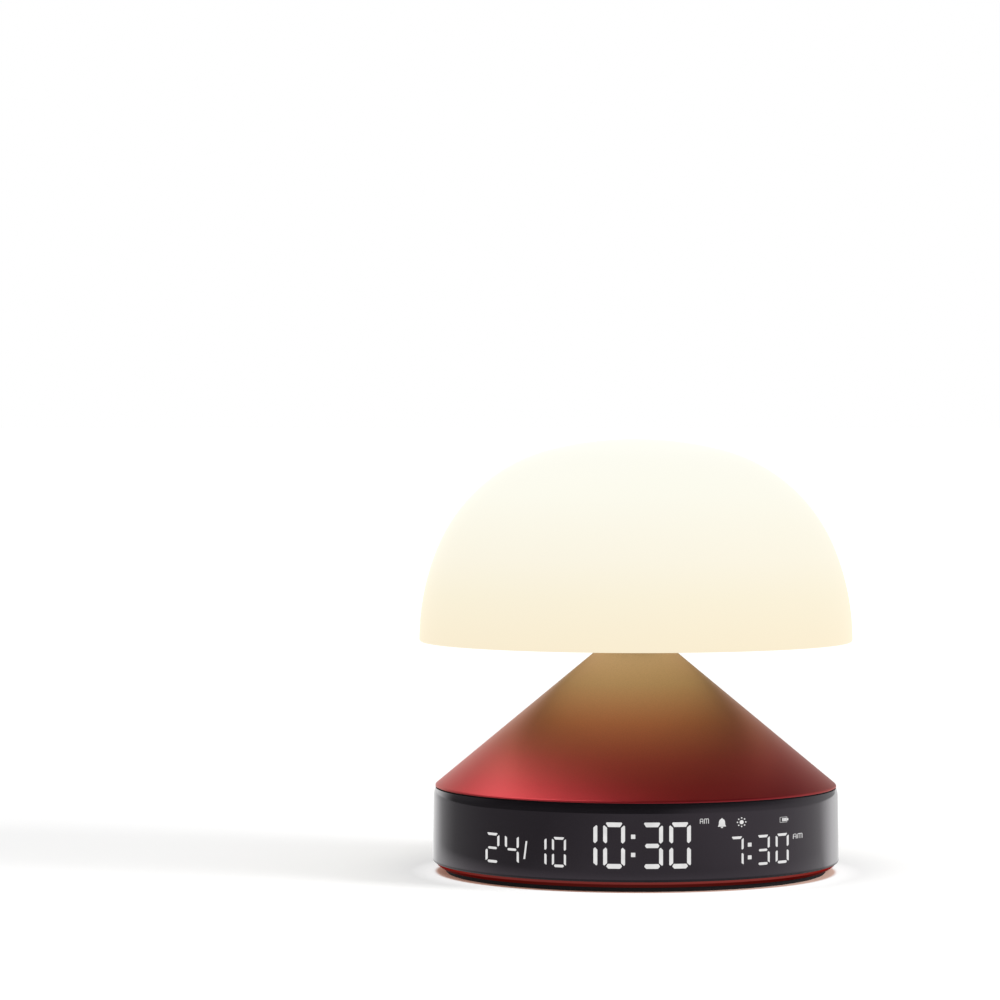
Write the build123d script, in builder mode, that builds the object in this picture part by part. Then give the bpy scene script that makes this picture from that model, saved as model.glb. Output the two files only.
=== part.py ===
from build123d import *

import os
from math import asin, atan2, cos, degrees, hypot, radians, sin, sqrt, tan

# Sunrise alarm clock, in millimetres. The origin is the centre of the foot on the table, +Z is up, and the
# display faces -Y. A pressable lamp head stands on a cone, and the cone stands on a round base with a
# display band round it.

# ---------------------------------------------------------------- driving dimensions

# Clearances that every fit below uses.
fit_gap = 0.15  # between fixed pieces that slot together
guide_gap = 0.08  # round the neck post, where the head slides
moving_gap = 0.3  # round a push button
screw_gap = 0.05  # round a screw in its pilot hole
hair_gap = 0.05  # between faces that are glued or laid together
overlap = 0.2  # how far two forms of one piece run into each other

# Foot, trim ring and display band, from the table up. The band's top radius drives the whole base.
foot_height = 1.3
foot_setback = 3.75  # from the band's bottom edge
foot_width = 2.8
foot_rebate = 0.5
foot_chamfer = 0.25
trim_height = 1.6
trim_setback = 1.25
trim_taper = 1.4
trim_slope_share = 0.6  # of the trim's height, the tapered part
band_height = 21.0
band_top_radius = 56.75
band_flare = 0.8
band_wall = 2.2
band_crown_height = 2.4  # of the rounded top edge
band_crown_draw = 0.5  # how far it draws in
band_foot_round = 0.9

# Cone.
gasket_height = 0.4
gasket_setback = 0.65
gasket_width = 6.1
cone_pitch = 39.7  # degrees above the horizontal
cone_land = 0.4
cone_edge_round = 0.7
cone_skin = 1.2
cone_top_land = 2.2  # round the neck post
liner_wall = 1.6
liner_boss_radius = 3.2
liner_boss_inset = 3.5  # from the drum's inner face
liner_boss_rise = 16.0

# Neck and press mechanism.
post_radius = 7.0
post_wall = 3.0
post_flange_width = 5.4
post_flange_thickness = 2.0
key_width = 2.0
key_depth = 0.8
key_end_gap = 1.0  # below the key at the end of its travel
press_travel = 0.8
press_stop_gap = 0.12
washer_height = 0.5
spring_length = 5.4
spring_gap = 0.5  # inside and outside the coil
spring_wire = 0.9
spring_turns = 3
guide_length = 5.5
ring_thickness = 0.7
ring_width = 2.4
ring_float = 0.1  # above the guide
post_crown = 0.7  # above the ring
neck_board_thickness = 1.0
neck_board_setback = 0.7
head_switch_side = 6.0
head_switch_height = 3.1
head_switch_corner = 0.5
plunger_radius = 1.7
plunger_length = 1.8
plunger_chamfer = 0.2
plunger_overlap = 0.9  # how far the plunger reaches into the switch at rest

# Shade.
rim_lift = 1.02  # rim above the cone's top
dome_height = 57.3
shade_radius = 61.3
crown_bulge = 1.502  # the crown's arc radius is this times shade_radius**2 / dome_height
shoulder_share = 0.8237  # of the dome's height, the shoulder's arc radius
side_share = 1.1955  # of the dome's height, the side's arc radius
shade_wall = 2.0
shade_land = 0.45
shade_rim_round = 0.7
underside_recess = 1.5
underside_thickness = 1.6
underside_flange_height = 4.0
underside_flange_wall = 1.4
underside_flange_draft = 0.35
underside_flange_foot = 1.2
underside_edge_round = 0.5

# Lamp.
hub_wall = 1.8
hub_flange_radius = 24.0
hub_gusset = 6.0
hub_flange_thickness = 2.0
carrier_thickness = 1.5
carrier_boss_radius = 3.2
carrier_boss_height = 2.0
carrier_boss_chamfer = 0.4
lamp_board_thickness = 1.6
lamp_board_radius = 23.0
emitter_size = (2.8, 3.5, 0.8)
emitter_rings = ((19.5, 16), (9.5, 8))  # circle radius and count
carrier_screw_circle = 15.5
lead_offset = 4.8
lead_radius = 0.45

# Base interior.
deck_thickness = 1.6
channel_depth = 5.05  # between the band and the drum, for the display
drum_wall = 2.0
base_flange_thickness = 2.0
cover_step = 0.8
cover_lap = 0.3  # over the drum's inner face
cover_flange_width = 1.5
cover_screw_inset = 3.0  # from the drum's inner face
cover_boss_radius = 3.4
cover_boss_height = 9.0
cover_boss_roof = 2.0  # left above the pilot hole
wire_hole_place = (0.0, 31.0)
wire_hole_radius = 4.0
rib_thickness = 1.6
rib_end_angle = 6.0  # past the display's ends
cover_screw_angles = (-120, -60, 30, 150)

# Display. Every cell faces straight forward, so the layout below is flat: x across, z up.
display_half_angle = 60.0
display_board_gap = 0.2  # from the drum
display_board_thickness = 0.8
led_side = 0.6
led_height = 0.5
led_clearance = 0.1
reflector_setback = 0.55  # from the band's inner face
reflector_lip = 0.35
reflector_lip_height = 0.8
reflector_end_gap = 0.2  # above and below the reflector
film_gap = 0.03  # in front of the cells
film_thickness = 0.25
film_end_angle = 1.0  # short of the reflector's ends
digit_base_z = 6.5
large_digit = (6.0, 12.65, 1.25)  # width, height, stroke
small_digit = (4.2, 8.35, 0.9)
segment_gap = 0.14
time_digits_x = (-15.07, -7.6, 2.66, 10.26)
date_digits_x = (-40.4, -35.1, -27.7, -22.45)
alarm_digits_x = (20.5, 25.8, 33.1, 38.8)
time_colon_x = -2.46
alarm_colon_x = 29.5
date_stroke_x = -31.3
colon_dot_large = 1.16
colon_dot_small = 0.95
colon_shares = (0.31, 0.69)  # of the digit's height, where the two dots sit
stroke_lean = 0.25
stroke_low = 1.7  # above the digits' base
stroke_high = 6.7
icon_windows = (  # x, z, width and height of each symbol's window
    (16.95, 19.3, 2.9, 1.5),
    (21.8, 18.7, 2.4, 2.6),
    (27.2, 18.65, 2.7, 2.7),
    (39.4, 18.5, 3.0, 1.9),
    (43.5, 13.5, 2.9, 1.6),
)

# Rear controls.
button_names = ("alarm_button", "down_button", "set_button", "up_button", "sound_button")
button_pitch = 9.0
button_z = 15.5
button_radius = 2.5
button_proud = 0.7
button_travel = 0.6
button_flange_width = 0.5
button_flange_thickness = 1.4
button_rest_gap = 0.1  # between the flange and the guide block
button_edge = 0.3
button_stem_radius = 1.0
guide_depth = 5.5  # of the guide block, inwards from the drum's inner face
guide_half_width = 24.0
button_board_offset = 6.0  # from the guide block
button_board_thickness = 1.2
button_board_size = (47.0, 13.0, 1.0)  # width, height and corner
button_switch_side = 4.5
button_switch_height = 2.4
button_switch_corner = 0.4
switch_well_depth = 1.5
button_post_x = 14.0
button_post_z = 9.6
button_post_radius = 2.2

# USB-C inlet.
usb_width = 8.94
usb_height = 3.26
usb_length = 8.0
usb_wall = 0.3
usb_recess = 1.4
usb_board_width = 14.0
usb_board_thickness = 1.2
usb_board_overhang = 1.5  # inwards past the guide block
usb_board_reach = 4.0  # outside the drum
usb_back_wall = 1.0
tongue_width = 6.7
tongue_height = 0.7
tongue_setback = 0.9  # behind the mouth

# Battery, speaker and main board.
battery_radius = 9.2
battery_length = 65.0
battery_y = -21.0
battery_bed = 0.5
battery_rest_x = 20.0
battery_rest_size = (2.0, 12.0)
battery_tip = (3.0, 1.2)  # radius and length of the positive end
holder_wall = 1.0
holder_ear_x = 25.0
holder_ear_y = -8.0
holder_ear_size = (7.0, 3.0, 2.0)  # width, reach past the screw, thickness
speaker_y = 12.0
speaker_radius = 20.2
speaker_height = 13.4
speaker_boss_offset = 2.4  # outside the basket
speaker_boss_radius = 2.2
speaker_wall = 1.2
speaker_screw_angles = (30, 150, 270)
speaker_screw = (2.8, 0.9, 0.9)  # head radius, head height, shank radius
speaker_gasket_height = 0.5
speaker_seat_width = 2.6
speaker_flange_thickness = 1.0
basket_wall = 1.8
basket_skirt = 1.6
basket_depth = 6.2
basket_sheet = 0.8
diaphragm_depth = 4.6
basket_window = (15.5, 6.5)  # circle radius and side of the four windows
back_hole_radius = 5.0
magnet_chamfer = 0.6
magnet_radius = 11.5
grille_radius = 14.0
grille_slot_width = 1.8
grille_pitch = 3.6
main_board_size = (60.0, 46.0, 1.6)
main_board_corner = 4.0
standoff_radius = 2.6
standoff_height = 2.0
standoff_places = (26.0, 19.0)
lamp_socket_x = 12.0
lamp_socket_size = (6.0, 4.5, 5.0)
cable_radius = 1.5
cable_run_in = 5.0  # below the post's flange, where the cable reaches the axis
cable_lean_share = 0.44  # of the climb, where the cable starts to lean

# Screws: head radius, head height, shank radius.
small_screw = (1.9, 1.2, 0.9)
cover_screw = (2.2, 0.75, 1.0)
neck_pilot_depth = 2.8
boss_pilot_depth = 5.5
pilot_end_gap = 0.4

# ---------------------------------------------------------------- heights and radii that follow

band_bottom_radius = band_top_radius + band_flare
band_bottom_z = foot_height + trim_height
band_top_z = band_bottom_z + band_height
band_shoulder_z = band_top_z - band_crown_height
band_shoulder_radius = band_top_radius + band_crown_draw
foot_outer_radius = band_bottom_radius - foot_setback
trim_top_radius = band_bottom_radius - trim_setback
trim_bottom_radius = trim_top_radius - trim_taper
gasket_outer_radius = band_top_radius - gasket_setback
gasket_inner_radius = gasket_outer_radius - gasket_width
cone_top_radius = post_radius + cone_top_land
post_bore_radius = post_radius - post_wall
post_flange_radius = post_radius + post_flange_width
spring_inner_radius = post_radius + spring_gap
spring_outer_radius = spring_inner_radius + spring_wire
spring_chamber_radius = spring_outer_radius + spring_gap
hub_lower_radius = spring_chamber_radius + hub_wall
ring_inner_radius = post_radius - key_depth + hair_gap
ring_outer_radius = ring_inner_radius + ring_width
ring_chamber_radius = ring_outer_radius + spring_gap
hub_upper_radius = ring_chamber_radius + hub_wall
neck_board_radius = post_radius - neck_board_setback
deck_low_z = band_top_z - deck_thickness
cone_foot_z = band_top_z + gasket_height
cone_radius = band_top_radius
pitch = radians(cone_pitch)
cone_top_z = cone_foot_z + cone_land + (cone_radius - cone_top_radius) * tan(pitch)
shade_rim_z = cone_top_z + rim_lift
crown_z = shade_rim_z + dome_height
crown_radius = crown_bulge * shade_radius**2 / dome_height
shoulder_radius = shoulder_share * dome_height
side_radius = side_share * dome_height

washer_top_z = cone_top_z + washer_height
guide_low_z = washer_top_z + spring_length
guide_top_z = guide_low_z + guide_length
ring_low_z = guide_top_z + ring_float
post_top_z = ring_low_z + ring_thickness + post_crown
switch_low_z = post_top_z + neck_board_thickness
switch_top_z = switch_low_z + head_switch_height
plunger_low_z = switch_top_z - plunger_overlap
boss_low_z = plunger_low_z + plunger_length
hub_top_z = boss_low_z + carrier_boss_height
carrier_top_z = hub_top_z + carrier_thickness
lamp_board_top_z = carrier_top_z + lamp_board_thickness
hub_low_z = cone_top_z + press_travel + press_stop_gap
underside_z = shade_rim_z + underside_recess
underside_top_z = underside_z + underside_thickness

drum_outer_radius = band_top_radius - band_wall - channel_depth
drum_inner_radius = drum_outer_radius - drum_wall
cover_body_radius = drum_inner_radius + cover_lap
cover_flange_radius = cover_body_radius + cover_flange_width
cover_screw_circle = drum_inner_radius - cover_screw_inset
liner_boss_circle = drum_inner_radius - liner_boss_inset
display_board_radius = drum_outer_radius + display_board_gap
board_outer_radius = display_board_radius + display_board_thickness
reflector_inner_radius = board_outer_radius + led_height + led_clearance
reflector_outer_radius = band_top_radius - band_wall - reflector_setback
guide_face_y = drum_inner_radius - guide_depth
button_board_y = guide_face_y - button_board_offset
base_flange_top_z = band_bottom_z + base_flange_thickness
liner_inset = cone_skin + hair_gap
cavity_inset = liner_inset + liner_wall
main_board_z = band_top_z + standoff_height
main_board_top_z = main_board_z + main_board_size[2]
usb_board_top_z = base_flange_top_z + usb_board_thickness
usb_z = usb_board_top_z + usb_height / 2
battery_z = band_bottom_z + battery_bed + battery_radius


def band_radius(z):
    """Outer radius of the display band's wall at a height."""
    share = (z - band_bottom_z) / (band_shoulder_z - band_bottom_z)
    return band_bottom_radius + (band_shoulder_radius - band_bottom_radius) * share


def band_bore(z):
    """Inner radius of the display band at a height."""
    share = (z - band_bottom_z) / band_height
    return band_bottom_radius - band_wall + (band_top_radius - band_bottom_radius) * share


def cone_radius_at(z, inset):
    """Radius at a height of the cone's surface, moved inwards square to itself."""
    return cone_radius - (z + inset / cos(pitch) - cone_foot_z - cone_land) / tan(pitch)


def cone_height_at(radius, inset):
    """Height at a radius of the cone's surface, moved inwards square to itself."""
    return cone_foot_z + cone_land + (cone_radius - radius) * tan(pitch) - inset / cos(pitch)


usb_mouth_y = band_radius(usb_z) - usb_recess
flange_top_z = cone_height_at(post_flange_radius + fit_gap, cavity_inset) - fit_gap
flange_low_z = flange_top_z - post_flange_thickness

# ---------------------------------------------------------------- shared operations


def ring(inner, outer, low, high, mode=Mode.ADD):
    """A ring about the main axis, or a disc where the inner radius is 0."""
    with BuildSketch(Plane.XY.offset(low)) as section:
        Circle(outer)
        if inner > 0:
            Circle(inner, mode=Mode.SUBTRACT)
    extrude(section.sketch, amount=high - low, mode=mode)


def turned(points, mode=Mode.ADD, y=0.0):
    """A closed (radius, z) outline turned about a vertical axis."""
    with BuildSketch(Plane.XZ.offset(-y)) as section:
        with BuildLine():
            Polyline(*points, close=True)
        make_face()
    revolve(section.sketch, axis=Axis((0, y, 0), (0, 0, 1)), mode=mode)


def discs(places, radius, low, high, mode=Mode.ADD):
    """Upright cylinders at (x, y) places."""
    with BuildSketch(Plane.XY.offset(low)) as section:
        with Locations(*places):
            Circle(radius)
    extrude(section.sketch, amount=high - low, mode=mode)


def rods(places, radius, near_y, far_y, mode=Mode.ADD):
    """Cylinders along Y at (x, z) places."""
    with BuildSketch(Plane.XZ.offset(-near_y)) as section:
        with Locations(*places):
            Circle(radius)
    extrude(section.sketch, amount=near_y - far_y, mode=mode)


def block(x_span, y_span, z_span, mode=Mode.ADD):
    """A box between two limits on each axis."""
    with BuildSketch(Plane.XY.offset(z_span[0])) as section:
        with Locations(((x_span[0] + x_span[1]) / 2, (y_span[0] + y_span[1]) / 2)):
            Rectangle(x_span[1] - x_span[0], y_span[1] - y_span[0])
    extrude(section.sketch, amount=z_span[1] - z_span[0], mode=mode)


def polar(radius, angles, y=0.0):
    """Points on a circle, at angles in degrees from +X."""
    return [(radius * cos(radians(a)), y + radius * sin(radians(a))) for a in angles]


def evenly(count, first=0.0):
    """Angles of a full circle of equal steps."""
    return [first + 360.0 * i / count for i in range(count)]


def upright_screws(places, screw, head_z, tip_z):
    """Pan-head screws whose heads start at head_z and whose tips reach tip_z, above or below."""
    head_radius, head_height, shank_radius = screw
    outward = -1 if tip_z > head_z else 1
    head_end = head_z + outward * head_height
    discs(places, head_radius, min(head_z, head_end), max(head_z, head_end))
    discs(places, shank_radius, min(head_z, tip_z), max(head_z, tip_z))


def save(part, label):
    """Name a finished piece and write its STEP file."""
    part.label = label
    export_step(part, f"parts/{label}.step")


os.makedirs("parts", exist_ok=True)

# ---------------------------------------------------------------- shade
# The dome is three tangent arcs: a flat crown, a tight shoulder and a nearly upright side. The shoulder's
# centre lies where circles about the other two centres meet, so that the arcs stay tangent.

crown_centre = (0.0, crown_z - crown_radius)
side_centre = (shade_radius - side_radius, shade_rim_z + shade_land)
crown_reach = crown_radius - shoulder_radius
side_reach = side_radius - shoulder_radius
span_r = side_centre[0] - crown_centre[0]
span_z = side_centre[1] - crown_centre[1]
span = hypot(span_r, span_z)
along = (crown_reach**2 - side_reach**2 + span**2) / (2 * span)
across = sqrt(crown_reach**2 - along**2)
shoulder_centre = (
    crown_centre[0] + (along * span_r + across * span_z) / span,
    crown_centre[1] + (along * span_z - across * span_r) / span,
)
crown_angle = degrees(atan2(shoulder_centre[1] - crown_centre[1], shoulder_centre[0] - crown_centre[0]))
side_angle = degrees(atan2(shoulder_centre[1] - side_centre[1], shoulder_centre[0] - side_centre[0]))


def dome_arcs(inset):
    """The dome's arcs from the axis down to the side's foot, moved inwards by inset."""
    CenterArc(crown_centre, crown_radius - inset, 90, crown_angle - 90)
    CenterArc(shoulder_centre, shoulder_radius - inset, crown_angle, side_angle - crown_angle)
    CenterArc(side_centre, side_radius - inset, side_angle, -side_angle)


with BuildPart() as shade:
    with BuildSketch(Plane.XZ):
        with BuildLine():
            dome_arcs(0)
            dome_arcs(shade_wall)
            Line((0, crown_z), (0, crown_z - shade_wall))
            Polyline(
                (shade_radius, side_centre[1]),
                (shade_radius, shade_rim_z),
                (shade_radius - shade_wall, shade_rim_z),
                (shade_radius - shade_wall, side_centre[1]),
            )
        make_face()
    revolve(axis=Axis.Z)
    fillet(shade.edges().filter_by(GeomType.CIRCLE).group_by(Axis.Z)[0], shade_rim_round)
save(shade.part, "shade")

# The plate closes the dome just above its rim, and its upturned flange grips the wall.
underside_radius = shade_radius - shade_wall - fit_gap
flange_inner_radius = underside_radius - underside_flange_wall
with BuildPart() as shade_underside:
    ring(hub_lower_radius + fit_gap, underside_radius, underside_z, underside_top_z)
    turned(
        [
            (underside_radius, underside_top_z - overlap),
            (underside_radius, underside_top_z),
            (underside_radius - underside_flange_draft, underside_top_z + underside_flange_height),
            (flange_inner_radius, underside_top_z + underside_flange_height),
            (flange_inner_radius - underside_flange_foot, underside_top_z - overlap),
        ]
    )
    fillet(shade_underside.edges().group_by(Axis.Z)[0].sort_by(SortBy.LENGTH)[-1], underside_edge_round)
save(shade_underside.part, "shade_underside")

# ---------------------------------------------------------------- lamp head

guide_radius = post_radius + guide_gap
with BuildPart() as head_hub:
    turned(
        [
            (spring_chamber_radius, hub_low_z),
            (hub_lower_radius, hub_low_z),
            (hub_lower_radius, underside_top_z),
            (hub_upper_radius, underside_top_z),
            (hub_upper_radius, hub_top_z - hub_flange_thickness - hub_gusset),
            (hub_upper_radius + hub_gusset, hub_top_z - hub_flange_thickness),
            (hub_flange_radius, hub_top_z - hub_flange_thickness),
            (hub_flange_radius, hub_top_z),
            (ring_chamber_radius, hub_top_z),
            (ring_chamber_radius, guide_top_z),
            (guide_radius, guide_top_z),
            (guide_radius, guide_low_z),
            (spring_chamber_radius, guide_low_z),
        ]
    )
    # The key runs in the post's groove, so the head can't turn.
    block(
        (-key_width / 2 + fit_gap, key_width / 2 - fit_gap),
        (guide_radius - key_depth, guide_radius + overlap),
        (guide_low_z, guide_top_z),
    )
    discs(
        polar(carrier_screw_circle, evenly(3, 90)),
        small_screw[2] + screw_gap,
        hub_top_z - hub_flange_thickness,
        hub_top_z,
        Mode.SUBTRACT,
    )
save(head_hub.part, "head_hub")

lead_places = [(-lead_offset, 0), (lead_offset, 0)]
screw_places = polar(carrier_screw_circle, evenly(3, 90))
with BuildPart() as led_carrier:
    ring(0, hub_flange_radius, hub_top_z, carrier_top_z)
    ring(0, carrier_boss_radius, boss_low_z, hub_top_z)
    discs(lead_places, lead_radius + moving_gap, hub_top_z, carrier_top_z, Mode.SUBTRACT)
    discs(screw_places, small_screw[2] + fit_gap, hub_top_z, carrier_top_z, Mode.SUBTRACT)
    chamfer(led_carrier.edges().group_by(Axis.Z)[0], carrier_boss_chamfer)
save(led_carrier.part, "led_carrier")

with BuildPart() as led_board:
    ring(0, lamp_board_radius, carrier_top_z, lamp_board_top_z)
    discs(screw_places, small_screw[2] + fit_gap, carrier_top_z, lamp_board_top_z, Mode.SUBTRACT)
save(led_board.part, "led_board")

with BuildPart() as led_emitters:
    with BuildSketch(Plane.XY.offset(lamp_board_top_z)):
        for circle_radius, count in emitter_rings:
            with PolarLocations(circle_radius, count, start_angle=180 / count):
                Rectangle(emitter_size[0], emitter_size[1])
    extrude(amount=emitter_size[2])
save(led_emitters.part, "led_emitters")

with BuildPart() as carrier_screws:
    upright_screws(screw_places, small_screw, lamp_board_top_z, hub_top_z - hub_flange_thickness + overlap)
save(carrier_screws.part, "carrier_screws")

with BuildPart() as head_switch_plunger:
    ring(0, plunger_radius, plunger_low_z, boss_low_z)
    chamfer(head_switch_plunger.edges().group_by(Axis.Z)[0], plunger_chamfer)
save(head_switch_plunger.part, "head_switch_plunger")

# ---------------------------------------------------------------- neck

neck_screw_circle = (post_radius + post_flange_radius) / 2
neck_screw_places = polar(neck_screw_circle, evenly(3, 30))
neck_pilot_top_z = flange_top_z + neck_pilot_depth
with BuildPart() as neck_post:
    turned(
        [
            (post_bore_radius, flange_low_z),
            (post_flange_radius, flange_low_z),
            (post_flange_radius, flange_top_z),
            (post_radius, flange_top_z),
            (post_radius, ring_low_z - hair_gap),
            (post_radius - key_depth, ring_low_z - hair_gap),
            (post_radius - key_depth, ring_low_z + ring_thickness + hair_gap),
            (post_radius, ring_low_z + ring_thickness + hair_gap),
            (post_radius, post_top_z),
            (post_bore_radius, post_top_z),
        ]
    )
    block(
        (-key_width / 2, key_width / 2),
        (post_radius - key_depth - fit_gap, post_radius + overlap),
        (guide_low_z - press_travel - key_end_gap, post_top_z),
        Mode.SUBTRACT,
    )
    discs(neck_screw_places, small_screw[2] + fit_gap, flange_low_z, flange_top_z, Mode.SUBTRACT)
save(neck_post.part, "neck_post")

with BuildPart() as neck_screws:
    upright_screws(neck_screw_places, small_screw, flange_low_z, neck_pilot_top_z - pilot_end_gap)
save(neck_screws.part, "neck_screws")

with BuildPart() as neck_washer:
    ring(post_radius + fit_gap, spring_chamber_radius - moving_gap, cone_top_z, washer_top_z)
save(neck_washer.part, "neck_washer")

# The spring's wire centre line stands clear of the washer and the hub by half a wire and a hair.
spring_low_z = washer_top_z + spring_wire / 2 + hair_gap
spring_rise = spring_length - spring_wire - 2 * hair_gap
coil_radius = spring_inner_radius + spring_wire / 2
with BuildPart() as head_return_spring:
    with BuildLine(Plane.XY.offset(spring_low_z)) as coil:
        Helix(pitch=spring_rise / spring_turns, height=spring_rise, radius=coil_radius)
    with BuildSketch(Plane(origin=coil.line @ 0, z_dir=coil.line % 0)):
        RegularPolygon(spring_wire / 2, 6)
    sweep(path=coil.line, is_frenet=True)
save(head_return_spring.part, "head_return_spring")

with BuildPart() as neck_retaining_ring:
    ring(ring_inner_radius, ring_outer_radius, ring_low_z, ring_low_z + ring_thickness)
    mouth = ring_inner_radius / 2
    block(
        (-mouth, mouth),
        (-ring_outer_radius - overlap, 0),
        (ring_low_z, ring_low_z + ring_thickness),
        Mode.SUBTRACT,
    )
save(neck_retaining_ring.part, "neck_retaining_ring")

with BuildPart() as neck_board:
    ring(0, neck_board_radius, post_top_z, switch_low_z)
save(neck_board.part, "neck_board")

with BuildPart() as head_switch:
    with BuildSketch(Plane.XY.offset(switch_low_z)):
        RectangleRounded(head_switch_side, head_switch_side, head_switch_corner)
    extrude(amount=head_switch_height)
    ring(
        0,
        plunger_radius + fit_gap,
        plunger_low_z - press_travel - fit_gap,
        switch_top_z,
        Mode.SUBTRACT,
    )
save(head_switch.part, "head_switch")

with BuildPart() as head_leads:
    discs(lead_places, lead_radius, switch_low_z, carrier_top_z)
save(head_leads.part, "head_leads")

# The cable climbs from its socket, leans over to the axis below the post's flange and runs up the post.
socket_top_z = main_board_top_z + lamp_socket_size[2]
cable_axis_z = flange_low_z - cable_run_in
cable_lean_z = socket_top_z + (cable_axis_z - socket_top_z) * cable_lean_share
cable_points = [
    (lamp_socket_x, 0, socket_top_z),
    (lamp_socket_x, 0, cable_lean_z),
    (0, 0, cable_axis_z),
    (0, 0, post_top_z),
]


def corner_radii(points, share=0.45):
    """Arc radius at each corner, as large as its two runs allow."""
    radii = []
    for before, here, after in zip(points, points[1:], points[2:]):
        run_in = Vector(here) - Vector(before)
        run_out = Vector(after) - Vector(here)
        half_turn = radians(run_in.get_angle(run_out)) / 2
        radii.append(share * min(run_in.length, run_out.length) / tan(half_turn))
    return radii


with BuildPart() as lamp_cable:
    with BuildLine() as cable_path:
        FilletPolyline(*cable_points, radius=corner_radii(cable_points))
    with BuildSketch(Plane(origin=cable_path.line @ 0, z_dir=cable_path.line % 0)):
        Circle(cable_radius)
    sweep(path=cable_path.line)
save(lamp_cable.part, "lamp_cable")

# ---------------------------------------------------------------- cone

neck_hole_radius = post_radius + 2 * fit_gap
skin_low_z = cone_top_z - cone_skin
with BuildPart() as cone_shell:
    turned(
        [
            (cone_radius, cone_foot_z),
            (cone_radius, cone_foot_z + cone_land),
            (cone_top_radius, cone_top_z),
            (neck_hole_radius, cone_top_z),
            (neck_hole_radius, skin_low_z),
            (cone_radius_at(skin_low_z, cone_skin), skin_low_z),
            (cone_radius_at(cone_foot_z, cone_skin), cone_foot_z),
        ]
    )
    corner = cone_shell.edges().filter_by(GeomType.CIRCLE)
    corner = corner.filter_by_position(Axis.Z, cone_foot_z + cone_land / 2, cone_foot_z + cone_land * 1.5)
    fillet(corner, cone_edge_round)
save(cone_shell.part, "cone_shell")

# The liner fills the skin, seats the neck post at its top and takes the deck's screws in its bosses.
liner_top_z = skin_low_z - hair_gap
liner_bosses = polar(liner_boss_circle, evenly(3, -90))
trim_bottom = cone_radius_at(cone_foot_z, liner_inset)
trim_top_z = cone_foot_z + liner_boss_rise + boss_pilot_depth
boss_pilot_top_z = band_top_z + boss_pilot_depth
with BuildPart() as cone_liner:
    turned(
        [
            (cone_radius_at(cone_foot_z, liner_inset), cone_foot_z),
            (cone_radius_at(liner_top_z, liner_inset), liner_top_z),
            (post_radius + hair_gap, liner_top_z),
            (post_radius + hair_gap, flange_top_z),
            (cone_radius_at(flange_top_z, cavity_inset), flange_top_z),
            (cone_radius_at(cone_foot_z, cavity_inset), cone_foot_z),
        ]
    )
    discs(liner_bosses, liner_boss_radius, band_top_z, band_top_z + liner_boss_rise)
    # What of the bosses would stand out through the liner is cut back to its slope.
    turned(
        [
            (trim_bottom, cone_foot_z),
            (trim_bottom, trim_top_z),
            (cone_radius_at(trim_top_z, liner_inset), trim_top_z),
        ],
        Mode.SUBTRACT,
    )
    discs(liner_bosses, small_screw[2] + screw_gap, band_top_z, boss_pilot_top_z, Mode.SUBTRACT)
    discs(neck_screw_places, small_screw[2] + screw_gap, flange_top_z, neck_pilot_top_z, Mode.SUBTRACT)
save(cone_liner.part, "cone_liner")

with BuildPart() as cone_gasket:
    ring(gasket_inner_radius, gasket_outer_radius, band_top_z, cone_foot_z)
save(cone_gasket.part, "cone_gasket")

with BuildPart() as cone_screws:
    upright_screws(liner_bosses, small_screw, deck_low_z, boss_pilot_top_z - pilot_end_gap)
save(cone_screws.part, "cone_screws")

# ---------------------------------------------------------------- display band

button_xs = [button_pitch * (i - (len(button_names) - 1) / 2) for i in range(len(button_names))]
button_places = [(x, button_z) for x in button_xs]
button_hole_radius = button_radius + moving_gap
rear_reach = band_bottom_radius + 5.0
with BuildPart() as display_band:
    # The wall narrows a little upwards, and an arc that leaves it smoothly crowns the top edge.
    with BuildSketch(Plane.XZ) as band_section:
        with BuildLine():
            wall = Line((band_bottom_radius, band_bottom_z), (band_shoulder_radius, band_shoulder_z))
            TangentArc(wall @ 1, (band_top_radius, band_top_z), tangent=wall % 1)
            Polyline(
                (band_top_radius, band_top_z),
                (band_bore(band_top_z), band_top_z),
                (band_bore(band_bottom_z), band_bottom_z),
                (band_bottom_radius, band_bottom_z),
            )
        make_face()
    revolve(band_section.sketch, axis=Axis.Z)
    outer_edges = display_band.edges().filter_by(GeomType.CIRCLE)
    fillet(outer_edges.group_by(Axis.Z)[0].sort_by(SortBy.RADIUS)[-1], band_foot_round)
    rods(button_places, button_hole_radius, guide_face_y, rear_reach, Mode.SUBTRACT)
    with BuildSketch(Plane.XZ.offset(-guide_face_y)) as inlet:
        with Locations((0, usb_z)):
            SlotOverall(usb_width + 4 * fit_gap, usb_height + 4 * fit_gap)
    extrude(inlet.sketch, amount=guide_face_y - rear_reach, mode=Mode.SUBTRACT)
save(display_band.part, "display_band")

# ---------------------------------------------------------------- display cells


def segment_outlines(size):
    """Corners of the seven mitred segments of a digit whose centre is the origin."""
    width, height, stroke = size
    half = stroke / 2
    side_x = (width - stroke) / 2
    end_z = (height - stroke) / 2
    reach_x = side_x - segment_gap
    reach_z = end_z / 2 - segment_gap
    level = [(-reach_x, 0), (half - reach_x, half), (reach_x - half, half)]
    level += [(-x, -z) for x, z in level]
    upright = [(0, reach_z), (half, reach_z - half), (half, half - reach_z)]
    upright += [(-x, -z) for x, z in upright]
    outlines = [[(x, z + lift) for x, z in level] for lift in (-end_z, 0, end_z)]
    for side in (-side_x, side_x):
        for lift in (-end_z / 2, end_z / 2):
            outlines.append([(x + side, z + lift) for x, z in upright])
    return outlines


def centre_of(outline):
    """Mean of an outline's corners."""
    return (sum(x for x, z in outline) / len(outline), sum(z for x, z in outline) / len(outline))


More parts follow.
